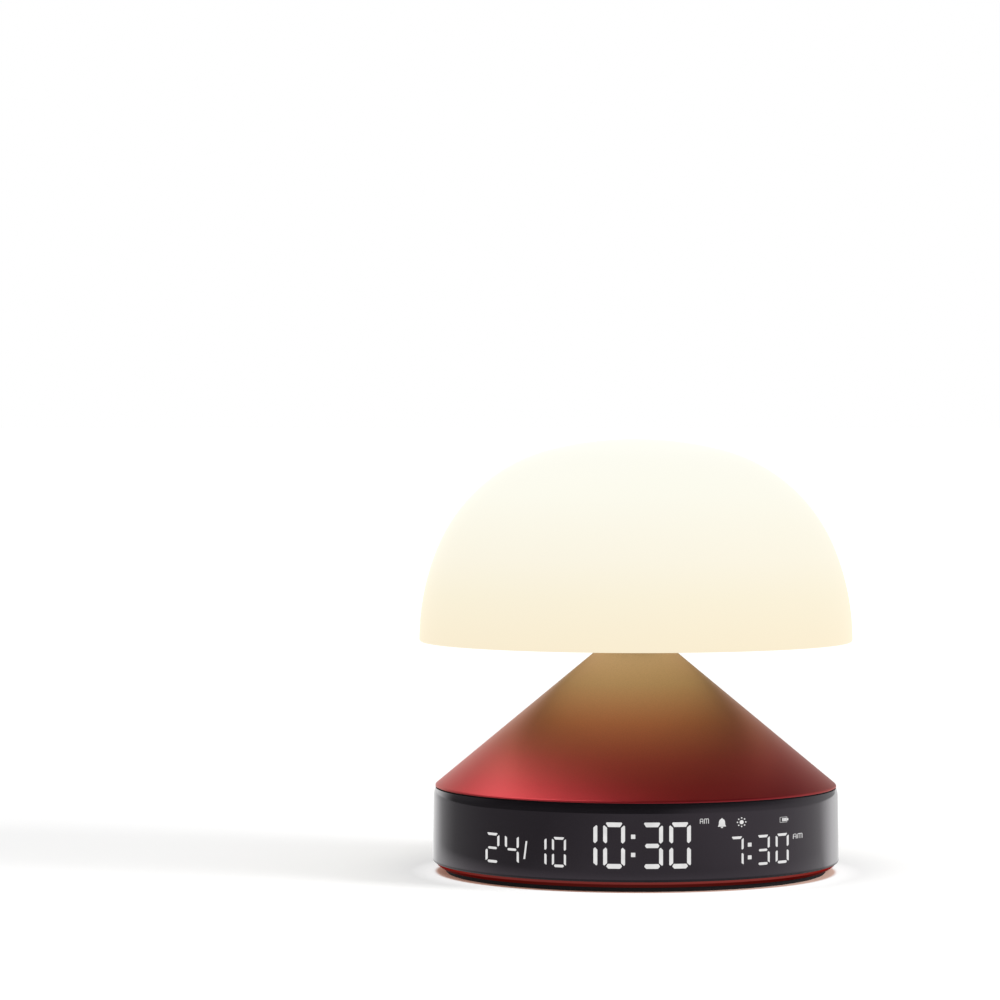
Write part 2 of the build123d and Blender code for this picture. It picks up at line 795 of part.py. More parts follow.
digits = [(x, large_digit) for x in time_digits_x]
digits += [(x, small_digit) for x in date_digits_x + alarm_digits_x]
cells = []
for digit_x, size in digits:
    digit_z = digit_base_z + size[1] / 2
    cells += [[(x + digit_x, z + digit_z) for x, z in outline] for outline in segment_outlines(size)]


def box_outline(x, z, width, height):
    """Corners of an upright rectangle."""
    return [
        (x - width / 2, z - height / 2),
        (x + width / 2, z - height / 2),
        (x + width / 2, z + height / 2),
        (x - width / 2, z + height / 2),
    ]


for colon_x, size, dot in (
    (time_colon_x, large_digit, colon_dot_large),
    (alarm_colon_x, small_digit, colon_dot_small),
):
    for share in colon_shares:
        cells.append(box_outline(colon_x, digit_base_z + size[1] * share, dot, dot))
slash_half = small_digit[2] / 2
cells.append(
    [
        (date_stroke_x - slash_half - stroke_lean, digit_base_z + stroke_low),
        (date_stroke_x + slash_half - stroke_lean, digit_base_z + stroke_low),
        (date_stroke_x + slash_half + stroke_lean, digit_base_z + stroke_high),
        (date_stroke_x - slash_half + stroke_lean, digit_base_z + stroke_high),
    ]
)
cells += [box_outline(*window) for window in icon_windows]


def sector(inner, outer, low, high, half_angle, mode=Mode.ADD):
    """A piece of a ring, centred on the front, that spans half_angle to each side."""
    start = radians(-90 - half_angle)
    edge = Plane(
        origin=(0, 0, 0),
        x_dir=(cos(start), sin(start), 0),
        z_dir=(sin(start), -cos(start), 0),
    )
    with BuildSketch(edge) as section:
        with Locations(((inner + outer) / 2, (low + high) / 2)):
            Rectangle(outer - inner, high - low)
    revolve(section.sketch, axis=Axis.Z, revolution_arc=2 * half_angle, mode=mode)


cell_low_z = base_flange_top_z + reflector_end_gap
cell_high_z = deck_low_z - reflector_end_gap
film_inner_radius = reflector_outer_radius + film_gap
lip_radius = reflector_outer_radius + reflector_lip
with BuildPart() as display_reflector:
    sector(reflector_inner_radius, reflector_outer_radius, cell_low_z, cell_high_z, display_half_angle)
    for lip_z in (cell_low_z, cell_high_z - reflector_lip_height):
        lip_top_z = lip_z + reflector_lip_height
        sector(reflector_outer_radius - overlap, lip_radius, lip_z, lip_top_z, display_half_angle)
    with BuildSketch(Plane.XZ) as openings:
        for outline in cells:
            Polygon(*outline, align=None)
    extrude(openings.sketch, amount=lip_radius + overlap, mode=Mode.SUBTRACT)
save(display_reflector.part, "display_reflector")

with BuildPart() as display_diffuser:
    sector(
        film_inner_radius,
        film_inner_radius + film_thickness,
        cell_low_z + reflector_lip_height + fit_gap,
        cell_high_z - reflector_lip_height - fit_gap,
        display_half_angle - film_end_angle,
    )
save(display_diffuser.part, "display_diffuser")

with BuildPart() as display_board:
    sector(display_board_radius, board_outer_radius, cell_low_z, cell_high_z, display_half_angle)
save(display_board.part, "display_board")

# Each die lies flat on the curved board behind the middle of its cell.
with BuildPart() as display_leds:
    for outline in cells:
        die_x, die_z = centre_of(outline)
        turn = -90 + degrees(asin(die_x / board_outer_radius))
        facing = Vector(cos(radians(turn)), sin(radians(turn)), 0)
        seat = facing * board_outer_radius + Vector(0, 0, die_z)
        with BuildSketch(Plane(origin=seat, x_dir=(0, 0, 1), z_dir=facing)) as die:
            Rectangle(led_side, led_side)
        extrude(die.sketch, amount=led_height)
save(display_leds.part, "display_leds")

# ---------------------------------------------------------------- chassis
# The drum stands inside the band. Its deck carries the cone and the main board, and the channel outside its
# wall holds the display in front. Ribs back the band elsewhere, and a block at the rear guides the buttons.

deck_radius = band_top_radius - band_wall - fit_gap
base_flange_radius = band_bore(base_flange_top_z) - fit_gap
rib_near_display = display_half_angle + rib_end_angle
rib_angles = [-90 - rib_near_display, -90 + rib_near_display, 0, 22, 44, 136, 158, 180]
rib_inner_radius = drum_outer_radius - overlap
rib_outer_radius = deck_radius - hair_gap
cover_boss_places = polar(cover_screw_circle, cover_screw_angles)
standoff_x, standoff_y = standoff_places
standoffs = [(i * standoff_x, j * standoff_y) for i in (-1, 1) for j in (-1, 1)]
button_posts = [(-button_post_x, button_post_z), (button_post_x, button_post_z)]
button_pilot_radius = small_screw[2] + screw_gap
usb_bay_half = usb_board_width / 2 + moving_gap
usb_bay_top_z = usb_board_top_z + usb_height + moving_gap
cover_pilot_radius = cover_screw[2] + screw_gap
cover_pilot_top_z = band_bottom_z + cover_boss_height - cover_boss_roof
holder_ears = [(-holder_ear_x, holder_ear_y), (holder_ear_x, holder_ear_y)]
with BuildPart() as base_chassis:
    ring(0, deck_radius, deck_low_z, band_top_z)
    ring(drum_inner_radius, drum_outer_radius, band_bottom_z, deck_low_z)
    ring(drum_inner_radius, base_flange_radius, band_bottom_z, base_flange_top_z)
    for angle in rib_angles:
        rib = Plane.XY.offset(base_flange_top_z - overlap).rotated((0, 0, angle))
        with BuildSketch(rib) as rib_section:
            with Locations(((rib_inner_radius + rib_outer_radius) / 2, 0)):
                Rectangle(rib_outer_radius - rib_inner_radius, rib_thickness)
        extrude(rib_section.sketch, amount=deck_low_z - base_flange_top_z + 2 * overlap)
    discs(cover_boss_places, cover_boss_radius, band_bottom_z, band_bottom_z + cover_boss_height)
    # The guide block fills the drum's rear between a flat inner face and the drum's own curve.
    with BuildSketch(Plane.XY.offset(base_flange_top_z)) as guide_section:
        Circle(drum_inner_radius + overlap)
        with Locations((0, guide_face_y + guide_depth)):
            Rectangle(2 * guide_half_width, 2 * guide_depth, mode=Mode.INTERSECT)
    extrude(guide_section.sketch, amount=deck_low_z - base_flange_top_z)
    rods(button_posts, button_post_radius, button_board_y, guide_face_y + overlap)
    rods(button_places, button_hole_radius, guide_face_y, rear_reach, Mode.SUBTRACT)
    rods(button_posts, button_pilot_radius, button_board_y, guide_face_y - pilot_end_gap, Mode.SUBTRACT)
    block(
        (-usb_bay_half, usb_bay_half),
        (guide_face_y, rear_reach),
        (base_flange_top_z, usb_bay_top_z),
        Mode.SUBTRACT,
    )
    discs(standoffs, standoff_radius, band_top_z, main_board_z)
    discs(standoffs, small_screw[2] + screw_gap, band_top_z, main_board_z, Mode.SUBTRACT)
    discs(cover_boss_places, cover_pilot_radius, band_bottom_z, cover_pilot_top_z, Mode.SUBTRACT)
    discs(liner_bosses, small_screw[2] + fit_gap, deck_low_z, band_top_z, Mode.SUBTRACT)
    discs(holder_ears, small_screw[2] + screw_gap, deck_low_z, band_top_z, Mode.SUBTRACT)
    discs([wire_hole_place], wire_hole_radius, deck_low_z, band_top_z, Mode.SUBTRACT)
save(base_chassis.part, "base_chassis")

# ---------------------------------------------------------------- trim ring, cover and foot

foot_inner_radius = foot_outer_radius - foot_width
trim_step_radius = cover_flange_radius + fit_gap
trim_bore_radius = cover_body_radius + fit_gap
cover_step_z = foot_height + cover_step
with BuildPart() as base_trim_ring:
    turned(
        [
            (trim_bottom_radius, foot_height),
            (trim_top_radius, foot_height + trim_height * trim_slope_share),
            (trim_top_radius, band_bottom_z),
            (trim_bore_radius, band_bottom_z),
            (trim_bore_radius, cover_step_z),
            (trim_step_radius, cover_step_z),
            (trim_step_radius, foot_height),
        ]
    )
    ring(
        foot_inner_radius - hair_gap,
        foot_outer_radius + hair_gap,
        foot_height,
        foot_height + foot_rebate,
        Mode.SUBTRACT,
    )
save(base_trim_ring.part, "base_trim_ring")

with BuildPart() as foot_ring:
    ring(foot_inner_radius, foot_outer_radius, 0, foot_height + foot_rebate)
    chamfer(foot_ring.edges().group_by(Axis.Z)[0], foot_chamfer)
save(foot_ring.part, "foot_ring")

speaker_wall_radius = speaker_radius + moving_gap
speaker_bosses = polar(speaker_radius + speaker_boss_offset, speaker_screw_angles, speaker_y)
speaker_seat_z = band_bottom_z + speaker_gasket_height
speaker_flange_z = speaker_seat_z + speaker_flange_thickness
speaker_seat_radius = speaker_radius - speaker_seat_width
slot_count = 2 * int(grille_radius / grille_pitch) + 1
rest_half = battery_rest_size[0] / 2
rest_reach = battery_rest_size[1] / 2
with BuildPart() as bottom_cover:
    ring(0, cover_flange_radius, foot_height, cover_step_z)
    ring(0, cover_body_radius, cover_step_z, band_bottom_z)
    with BuildSketch(Plane.XY.offset(band_bottom_z)) as speaker_pocket:
        with Locations((0, speaker_y)):
            Circle(speaker_wall_radius + speaker_wall)
        with Locations(*speaker_bosses):
            Circle(speaker_boss_radius)
        with Locations((0, speaker_y)):
            Circle(speaker_wall_radius, mode=Mode.SUBTRACT)
    extrude(speaker_pocket.sketch, amount=speaker_flange_z - band_bottom_z)
    for rest_x in (-battery_rest_x, battery_rest_x):
        block(
            (rest_x - rest_half, rest_x + rest_half),
            (battery_y - rest_reach, battery_y + rest_reach),
            (band_bottom_z, band_bottom_z + battery_bed),
        )
    with BuildSketch(Plane.XY.offset(foot_height)) as grille:
        for i in range(slot_count):
            slot_offset = grille_pitch * (i - (slot_count - 1) / 2)
            slot_length = 2 * sqrt(grille_radius**2 - slot_offset**2)
            with Locations((0, speaker_y + slot_offset)):
                SlotOverall(slot_length, grille_slot_width)
    extrude(grille.sketch, amount=trim_height, mode=Mode.SUBTRACT)
    discs(cover_boss_places, cover_screw[0] + moving_gap, foot_height, cover_step_z, Mode.SUBTRACT)
    discs(cover_boss_places, cover_screw[2] + fit_gap, foot_height, band_bottom_z, Mode.SUBTRACT)
    discs(speaker_bosses, speaker_screw[2] + screw_gap, band_bottom_z, speaker_flange_z, Mode.SUBTRACT)
save(bottom_cover.part, "bottom_cover")

with BuildPart() as bottom_screws:
    upright_screws(cover_boss_places, cover_screw, cover_step_z, cover_pilot_top_z - pilot_end_gap)
save(bottom_screws.part, "bottom_screws")

# ---------------------------------------------------------------- speaker

speaker_back_z = speaker_flange_z + basket_depth
skirt_top_z = speaker_flange_z + basket_skirt
skirt_low_z = skirt_top_z - basket_sheet / 2
back_low_z = speaker_back_z - basket_sheet
with BuildPart() as speaker_gasket:
    with BuildSketch(Plane.XY.offset(band_bottom_z)):
        with Locations((0, speaker_y)):
            Circle(speaker_radius)
            Circle(speaker_seat_radius, mode=Mode.SUBTRACT)
    extrude(amount=speaker_seat_z - band_bottom_z)
save(speaker_gasket.part, "speaker_gasket")

with BuildPart() as speaker_basket:
    turned(
        [
            (speaker_seat_radius, speaker_seat_z),
            (speaker_radius, speaker_seat_z),
            (speaker_radius, speaker_flange_z),
            (speaker_radius - basket_wall, speaker_flange_z),
            (speaker_radius - basket_wall, skirt_top_z),
            (magnet_radius + basket_sheet, speaker_back_z),
            (back_hole_radius, speaker_back_z),
            (back_hole_radius, back_low_z),
            (magnet_radius, back_low_z),
            (speaker_seat_radius, skirt_low_z),
        ],
        y=speaker_y,
    )
    window_circle, window_side = basket_window
    with BuildSketch(Plane.XY.offset(skirt_low_z)) as windows:
        with Locations(*polar(window_circle, evenly(4, 45), speaker_y)):
            Rectangle(window_side, window_side)
    extrude(windows.sketch, amount=back_low_z - skirt_low_z - basket_sheet, mode=Mode.SUBTRACT)
save(speaker_basket.part, "speaker_basket")

with BuildPart() as speaker_magnet:
    with BuildSketch(Plane.XY.offset(speaker_back_z)):
        with Locations((0, speaker_y)):
            Circle(magnet_radius)
    extrude(amount=speaker_height - (speaker_back_z - speaker_seat_z))
    chamfer(speaker_magnet.edges().group_by(Axis.Z)[-1], magnet_chamfer)
save(speaker_magnet.part, "speaker_magnet")

# The diaphragm hangs from its rolled surround, and its neck carries the dust cap.
rim_in = speaker_seat_radius - moving_gap
neck_z = speaker_seat_z + diaphragm_depth
with BuildPart() as speaker_cone:
    with BuildSketch(Plane.XZ.offset(-speaker_y)):
        with BuildLine():
            Polyline(
                (rim_in, speaker_seat_z + 0.5),
                (rim_in, speaker_seat_z + 1.1),
                (rim_in - 0.8, speaker_seat_z + 1.7),
                (rim_in - 1.7, speaker_seat_z + 1.7),
                (rim_in - 2.4, speaker_seat_z + 1.2),
                (6.3, neck_z + 0.5),
                (0, neck_z + 1.1),
                (0, neck_z + 0.6),
                (6.0, neck_z),
                (rim_in - 2.6, speaker_seat_z + 0.8),
                (rim_in - 1.6, speaker_seat_z + 1.3),
                (rim_in - 0.9, speaker_seat_z + 1.3),
                (rim_in - 0.3, speaker_seat_z + 0.5),
                close=True,
            )
        make_face()
    revolve(axis=Axis((0, speaker_y, 0), (0, 0, 1)))
save(speaker_cone.part, "speaker_cone")

with BuildPart() as speaker_screws:
    upright_screws(speaker_bosses, speaker_screw, speaker_flange_z, band_bottom_z + hair_gap)
save(speaker_screws.part, "speaker_screws")

# ---------------------------------------------------------------- battery

tip_radius, tip_length = battery_tip
half_length = battery_length / 2
with BuildPart() as battery_cell:
    with BuildSketch(Plane.YZ.offset(-half_length)):
        with Locations((battery_y, battery_z)):
            Circle(battery_radius)
    extrude(amount=battery_length - tip_length)
    with BuildSketch(Plane.YZ.offset(half_length - tip_length)):
        with Locations((battery_y, battery_z)):
            Circle(tip_radius)
    extrude(amount=tip_length)
save(battery_cell.part, "battery_cell")

holder_half_length = half_length + holder_wall
holder_half_width = battery_radius + holder_wall
holder_edge_y = battery_y + holder_half_width
ear_width, ear_reach, ear_thickness = holder_ear_size
ear_low_z = deck_low_z - ear_thickness
with BuildPart() as battery_holder:
    block(
        (-holder_half_length, holder_half_length),
        (battery_y - holder_half_width, battery_y + holder_half_width),
        (battery_z, deck_low_z),
    )
    for ear_x, ear_y in holder_ears:
        block(
            (ear_x - ear_width / 2, ear_x + ear_width / 2),
            (holder_edge_y - overlap, ear_y + ear_reach),
            (ear_low_z, deck_low_z),
        )
    with BuildSketch(Plane.YZ.offset(-half_length - fit_gap)) as trough:
        with Locations((battery_y, battery_z)):
            Circle(battery_radius + fit_gap)
    extrude(trough.sketch, amount=battery_length + 2 * fit_gap, mode=Mode.SUBTRACT)
    discs(holder_ears, small_screw[2] + fit_gap, ear_low_z, deck_low_z, Mode.SUBTRACT)
save(battery_holder.part, "battery_holder")

with BuildPart() as battery_screws:
    upright_screws(holder_ears, small_screw, ear_low_z, band_top_z - pilot_end_gap)
save(battery_screws.part, "battery_screws")

# ---------------------------------------------------------------- main board

with BuildPart() as main_board:
    with BuildSketch(Plane.XY.offset(main_board_z)):
        RectangleRounded(main_board_size[0], main_board_size[1], main_board_corner)
        with Locations(*standoffs):
            Circle(small_screw[2] + fit_gap, mode=Mode.SUBTRACT)
    extrude(amount=main_board_size[2])
save(main_board.part, "main_board")

# x, y, width, depth and height of what is soldered to the board.
components = (
    (-6, 4, 9, 9, 1.0),
    (-20, 6, 7, 5, 1.2),
    (-8, -13, 6, 6, 3.2),
    (6, -15, 5, 4, 1.0),
    (21, -6, 8, 4.5, 5.0),
    (-21, -8, 6, 4.5, 5.0),
    (2, 17, 14, 4, 2.5),
)
capacitor_places = [(16, 9), (23, 9)]
capacitor_radius = 2.6
capacitor_height = 7.0
with BuildPart() as board_components:
    for x, y, width, depth, height in components:
        block(
            (x - width / 2, x + width / 2),
            (y - depth / 2, y + depth / 2),
            (main_board_top_z, main_board_top_z + height),
        )
    discs(capacitor_places, capacitor_radius, main_board_top_z, main_board_top_z + capacitor_height)
save(board_components.part, "board_components")

with BuildPart() as lamp_socket:
    block(
        (lamp_socket_x - lamp_socket_size[0] / 2, lamp_socket_x + lamp_socket_size[0] / 2),
        (-lamp_socket_size[1] / 2, lamp_socket_size[1] / 2),
        (main_board_top_z, socket_top_z),
    )
save(lamp_socket.part, "lamp_socket")

with BuildPart() as board_screws:
    upright_screws(standoffs, small_screw, main_board_top_z, band_top_z + pilot_end_gap)
save(board_screws.part, "board_screws")

# ---------------------------------------------------------------- USB-C inlet

with BuildPart() as usb_board:
    block(
        (-usb_board_width / 2, usb_board_width / 2),
        (guide_face_y - usb_board_overhang, drum_outer_radius + usb_board_reach),
        (base_flange_top_z, usb_board_top_z),
    )
save(usb_board.part, "usb_board")

usb_back_y = usb_mouth_y - usb_length
with BuildPart() as usb_socket:
    with BuildSketch(Plane.XZ.offset(-usb_back_y)):
        with Locations((0, usb_z)):
            SlotOverall(usb_width, usb_height)
    extrude(amount=-usb_length)
    with BuildSketch(Plane.XZ.offset(-usb_back_y - usb_back_wall)) as mouth:
        with Locations((0, usb_z)):
            SlotOverall(usb_width - 2 * usb_wall, usb_height - 2 * usb_wall)
    extrude(mouth.sketch, amount=-usb_length, mode=Mode.SUBTRACT)
save(usb_socket.part, "usb_socket")

with BuildPart() as usb_tongue:
    block(
        (-tongue_width / 2, tongue_width / 2),
        (usb_back_y + usb_back_wall, usb_mouth_y - tongue_setback),
        (usb_z - tongue_height / 2, usb_z + tongue_height / 2),
    )
save(usb_tongue.part, "usb_tongue")

# ---------------------------------------------------------------- rear buttons

board_back_y = button_board_y - button_board_thickness
with BuildPart() as button_board:
    with BuildSketch(Plane.XZ.offset(-board_back_y)):
        with Locations((0, (button_z + button_post_z) / 2)):
            RectangleRounded(*button_board_size)
        with Locations(*button_posts):
            Circle(small_screw[2] + fit_gap, mode=Mode.SUBTRACT)
    extrude(amount=-button_board_thickness)
save(button_board.part, "button_board")

switch_face_y = button_board_y + button_switch_height
well_floor_y = switch_face_y - switch_well_depth
stem_hole_radius = button_stem_radius + moving_gap
with BuildPart() as button_switches:
    with BuildSketch(Plane.XZ.offset(-button_board_y)):
        with Locations(*button_places):
            RectangleRounded(button_switch_side, button_switch_side, button_switch_corner)
    extrude(amount=-button_switch_height)
    rods(button_places, stem_hole_radius, well_floor_y, switch_face_y, Mode.SUBTRACT)
save(button_switches.part, "button_switches")

with BuildPart() as button_board_screws:
    rods(button_posts, small_screw[0], board_back_y - small_screw[1], board_back_y)
    rods(button_posts, small_screw[2], board_back_y, guide_face_y - 2 * pilot_end_gap)
save(button_board_screws.part, "button_board_screws")

# Each cap ends in the band's own curve, a little proud of it. Its flange stops behind the guide block, and
# its stem reaches into the switch.
button_flange_face_y = guide_face_y - button_rest_gap
button_flange_back_y = button_flange_face_y - button_flange_thickness
stem_end_y = well_floor_y + button_travel + overlap
flange_radius = button_radius + button_flange_width
for name, x in zip(button_names, button_xs):
    with BuildPart() as button:
        rods([(x, button_z)], button_radius, button_flange_face_y - overlap, rear_reach)
        turned(
            [
                (0, base_flange_top_z),
                (band_radius(base_flange_top_z) + button_proud, base_flange_top_z),
                (band_radius(deck_low_z) + button_proud, deck_low_z),
                (0, deck_low_z),
            ],
            Mode.INTERSECT,
        )
        chamfer(button.faces().sort_by(Axis.Y)[-1].edges(), button_edge)
        rods([(x, button_z)], flange_radius, button_flange_back_y, button_flange_face_y)
        rods([(x, button_z)], button_stem_radius, stem_end_y, button_flange_back_y + overlap)
    save(button.part, name)
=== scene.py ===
# %% [markdown]
# A sunrise alarm clock: a glowing dome on a red metal cone, on a round black base with a clock display.
# The hard shapes come from the CAD frame, which loads first and is never moved. This script gives every
# piece its finish, lights the display, and models what is drawn on the surfaces, such as digits and
# symbols, and two things that are finer than the CAD: the return spring and the cover's screws. All
# lengths are in metres, in the CAD's own frame: +Z up, the display facing -Y.

# %% Load the frame
import bpy
from math import cos, hypot, pi, radians, sin
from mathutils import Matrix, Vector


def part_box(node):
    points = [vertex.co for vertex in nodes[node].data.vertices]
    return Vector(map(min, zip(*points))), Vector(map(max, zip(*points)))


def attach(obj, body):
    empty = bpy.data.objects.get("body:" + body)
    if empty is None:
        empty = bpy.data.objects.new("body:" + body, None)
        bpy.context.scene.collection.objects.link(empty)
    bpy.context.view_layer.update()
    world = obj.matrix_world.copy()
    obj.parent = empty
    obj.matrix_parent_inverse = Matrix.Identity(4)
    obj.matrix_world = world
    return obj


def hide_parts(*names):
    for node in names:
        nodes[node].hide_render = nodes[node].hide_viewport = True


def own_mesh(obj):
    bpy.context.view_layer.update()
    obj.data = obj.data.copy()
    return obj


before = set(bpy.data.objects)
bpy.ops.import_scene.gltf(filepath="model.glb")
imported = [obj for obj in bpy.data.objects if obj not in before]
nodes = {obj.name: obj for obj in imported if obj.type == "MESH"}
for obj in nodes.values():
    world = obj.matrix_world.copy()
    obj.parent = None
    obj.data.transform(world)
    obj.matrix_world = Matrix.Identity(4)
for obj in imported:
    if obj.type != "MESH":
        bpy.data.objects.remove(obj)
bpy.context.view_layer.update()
MM = 0.001

# %% [markdown]
# The camera stands a little above the table and 1.2 m in front, with a long lens, so the dome hides its
# own underside and the cone is seen almost side on.

# %% Camera
EYE = (-0.038431, -1.2, 0.130345)
TILT = 0.021  # radians downwards
FILM_WIDTH = 36.0  # mm
LENS = 152.585  # mm
camera_data = bpy.data.cameras.new("camera")
camera_data.sensor_width = FILM_WIDTH
camera_data.lens = LENS
camera = bpy.data.objects.new("camera", camera_data)
camera.location = EYE
camera.rotation_euler = (pi / 2 - TILT, 0.0, 0.0)
bpy.context.scene.collection.objects.link(camera)
bpy.context.scene.camera = camera
bpy.context.scene.view_settings.view_transform = "Standard"
print("camera at", EYE, "lens", LENS)

# %% [markdown]
# Colours are written as a painter's hex values and turned into the linear light that shaders work in.
# One small function adds a node with its settings and its links, so a material reads from top to bottom.
# Pairs have names of their own: the range of values that a Map Range node reads and the range it gives,
# and the two colours of a Mix node, which mixes the numbers in its sockets 2 and 3 otherwise.

# %% Helpers for materials
BUMP = "ShaderNodeBump"
MAP = "ShaderNodeMapRange"
MATH = "ShaderNodeMath"
MIX = "ShaderNodeMix"
NOISE = "ShaderNodeTexNoise"
RAMP = "ShaderNodeValToRGB"
SPLIT = "ShaderNodeSeparateXYZ"
VECTOR = "ShaderNodeVectorMath"
SMOOTH = {"interpolation_type": "SMOOTHSTEP"}
PAIRS = {"reads": (1, 2), "gives": (3, 4), "colours": (6, 7)}  # and the sockets that they go to


def linear(code):
    """An sRGB hex colour as linear red, green, blue and alpha."""
    channels = [int(code[i : i + 2], 16) / 255 for i in (1, 3, 5)]
    return tuple(c / 12.92 if c <= 0.04045 else ((c + 0.055) / 1.055) ** 2.4 for c in channels) + (1.0,)


def fill(node, settings=None, links=None):
    """Set a node's sockets and properties by name, and link sockets to outputs.

    A node that is given as a link stands for its first output in use.
    """
    for key, value in (settings or {}).items():
        if key == "colours":
            node.data_type = "RGBA"
        if key in PAIRS:
            for socket, item in zip(PAIRS[key], value):
                node.inputs[socket].default_value = item
        elif key == "stops":
            points = node.color_ramp.elements
            while len(points) < len(value):
                points.new(1.0)
            for point, (position, colour) in zip(points, value):
                point.position = position
                point.color = colour
        elif isinstance(key, int) or key in node.inputs:
            node.inputs[key].default_value = value
        else:
            setattr(node, key, value)
    for key, source in (links or {}).items():
        if isinstance(source, bpy.types.Node):
            source = next(output for output in source.outputs if output.enabled)
        node.id_data.links.new(source, node.inputs[key])
    return node


def add(tree, kind, settings=None, links=None):
    """Add a node with its settings and its links."""
    return fill(tree.nodes.new(kind), settings, links)


def new_material(name):
    """An empty material: its node tree, its shader and its Object coordinates."""
    material = bpy.data.materials.new(name)
    material.use_nodes = True
    tree = material.node_tree
    tree.nodes.clear()
    shader = add(tree, "ShaderNodeBsdfPrincipled")
    add(tree, "ShaderNodeOutputMaterial", links={"Surface": shader})
    place = add(tree, "ShaderNodeTexCoord").outputs["Object"]
    return material, tree, shader, place


def cover(piece, material):
    """Give a piece this one material."""
    piece.data.materials.clear()
    piece.data.materials.append(material)


def wear(material, names):
    """Give the named CAD nodes a material."""
    for name in names:
        cover(nodes[name], material)
    print(material.name, "on", ", ".join(names))


# %% [markdown]
# The floor and the air round the object are white and plain. The floor is a matt white that soft light
# brings almost to paper white, and a little light of its own that only the camera sees takes it the rest
# of the way, so the object's shadow stays on it. Under the band's overhang the paper is painted a warm
# brown shadow, and its own light there is painted orange, for light off the red ring. Just outside the
# overhang a painted ring of extra light lifts the floor.

# %% Floor, as the camera sees it
FLOOR_LIFT = (0.22, 0.62)  # light of its own near the object, and far from it, where the lamps don't reach
NEAR_AND_FAR = (0.2, 1.5)  # the distances of those two
RIM_LIFT = 0.24  # more light, just outside the overhang
RIM_WIDTH = 7.5 * MM  # how far that takes to fade
# inside this radius the floor carries a painted shadow and a painted orange bounce
OVERHANG = 56.5 * MM  # radius of the warm patch
EDGE = 0.5 * MM  # half the width of its blurred edge
bpy.ops.mesh.primitive_plane_add(size=60.0, location=(0, 0, 0))
floor = bpy.context.object
floor.name = "floor"
paper = bpy.data.materials.new("matt_white_paper")
paper.use_nodes = True
tree = paper.node_tree
tree.nodes.clear()
path = add(tree, "ShaderNodeLightPath")
seen, glossy, clear = (path.outputs[f"Is {kind} Ray"] for kind in ("Camera", "Glossy", "Transmission"))
spot = add(tree, "ShaderNodeTexCoord").outputs["Object"]
far = add(tree, VECTOR, {"operation": "LENGTH"}, {0: spot})
amount = add(tree, MAP, SMOOTH | {"reads": NEAR_AND_FAR, "gives": FLOOR_LIFT}, {0: far})
outside = add(tree, MAP, {"reads": (OVERHANG - EDGE, OVERHANG + EDGE)}, {0: far})
# a painted ring of extra light just outside the overhang
rim = add(tree, MAP, {"reads": (OVERHANG, OVERHANG + RIM_WIDTH), "gives": (RIM_LIFT, 0.0)}, {0: far})
total = add(tree, MATH, {"operation": "MULTIPLY_ADD"}, {0: rim, 1: outside, 2: amount})
lift = add(tree, MATH, {"operation": "MULTIPLY"}, {0: seen, 1: total})
# inside the overhang: painted warm brown shadow on the paper, and painted orange bounce light from the red
# ring
paper_and_painted_shadow = add(tree, MIX, {"colours": (linear("#e7d7cb"), linear("#efefef"))}, {0: outside})
lift_and_painted_bounce = add(tree, MIX, {"colours": (linear("#e3997c"), linear("#ffffff"))}, {0: outside})
matt = add(tree, "ShaderNodeBsdfDiffuse", links={"Color": paper_and_painted_shadow})
own_light = add(tree, "ShaderNodeEmission", links={"Color": lift_and_painted_bounce, "Strength": lift})
both = add(tree, "ShaderNodeAddShader", links={0: matt, 1: own_light})
print("floor at z", floor.location.z)

# %% [markdown]
# Polished surfaces mirror a table that is bright on the right and behind, and half as bright on the left,
# where a studio would stand a dark card. The bearing of a spot is taken from the nearest point of a line
# across the band, just in front of its middle, so that a place on the band mirrors nearly the same
# bearing at any height.

# %% Floor, as polished surfaces mirror it
TABLE = (  # degrees round from the front, the right being positive, and how bright the mirrored table is
    (-180, 1.15),
    (-161, 1.19),
    (-154, 1.08),
    (-145, 0.74),
    (-137, 0.60),
    (-124, 0.43),
    (-44, 0.42),
    (44, 0.92),
    (115, 0.92),
    (125, 1.00),
    (131, 1.35),
    (138, 1.60),
    (146, 1.66),
    (158, 1.27),
    (163, 1.00),
    (180, 1.05),
)
HALF_LINE = 55 * MM  # how far the line reaches left and right
LINE_IN_FRONT = 20 * MM  # how far it is in front of the middle
parts = add(tree, SPLIT, links={0: spot})
on_line = add(tree, "ShaderNodeClamp", {"Min": -HALF_LINE, "Max": HALF_LINE}, {"Value": parts.outputs["X"]})
aside = add(tree, MATH, {"operation": "SUBTRACT"}, {0: parts.outputs["X"], 1: on_line})
ahead = add(tree, MATH, {"operation": "MULTIPLY_ADD", 1: -1.0, 2: -LINE_IN_FRONT}, {0: parts.outputs["Y"]})
bearing = add(tree, MATH, {"operation": "ARCTAN2"}, {0: aside, 1: ahead})
share = add(tree, MAP, {"reads": (-pi, pi)}, {0: bearing})
greys = tuple((0.5 + degrees / 360, (light / 2, light / 2, light / 2, 1.0)) for degrees, light in TABLE)
half = add(tree, RAMP, {"stops": greys}, {0: share})  # a ramp's colours end at 1, so it holds them halved
table = add(tree, MATH, {"operation": "MULTIPLY", 1: 2.0}, {0: half})
print("bearings on the mirrored table", len(TABLE))

# %% [markdown]
# Distance changes that light too. Straight ahead the table ends before the camera's foot. Close to the
# object it starts in shadow, comes out of it into full light all round, and then turns into the table
# of bearings.

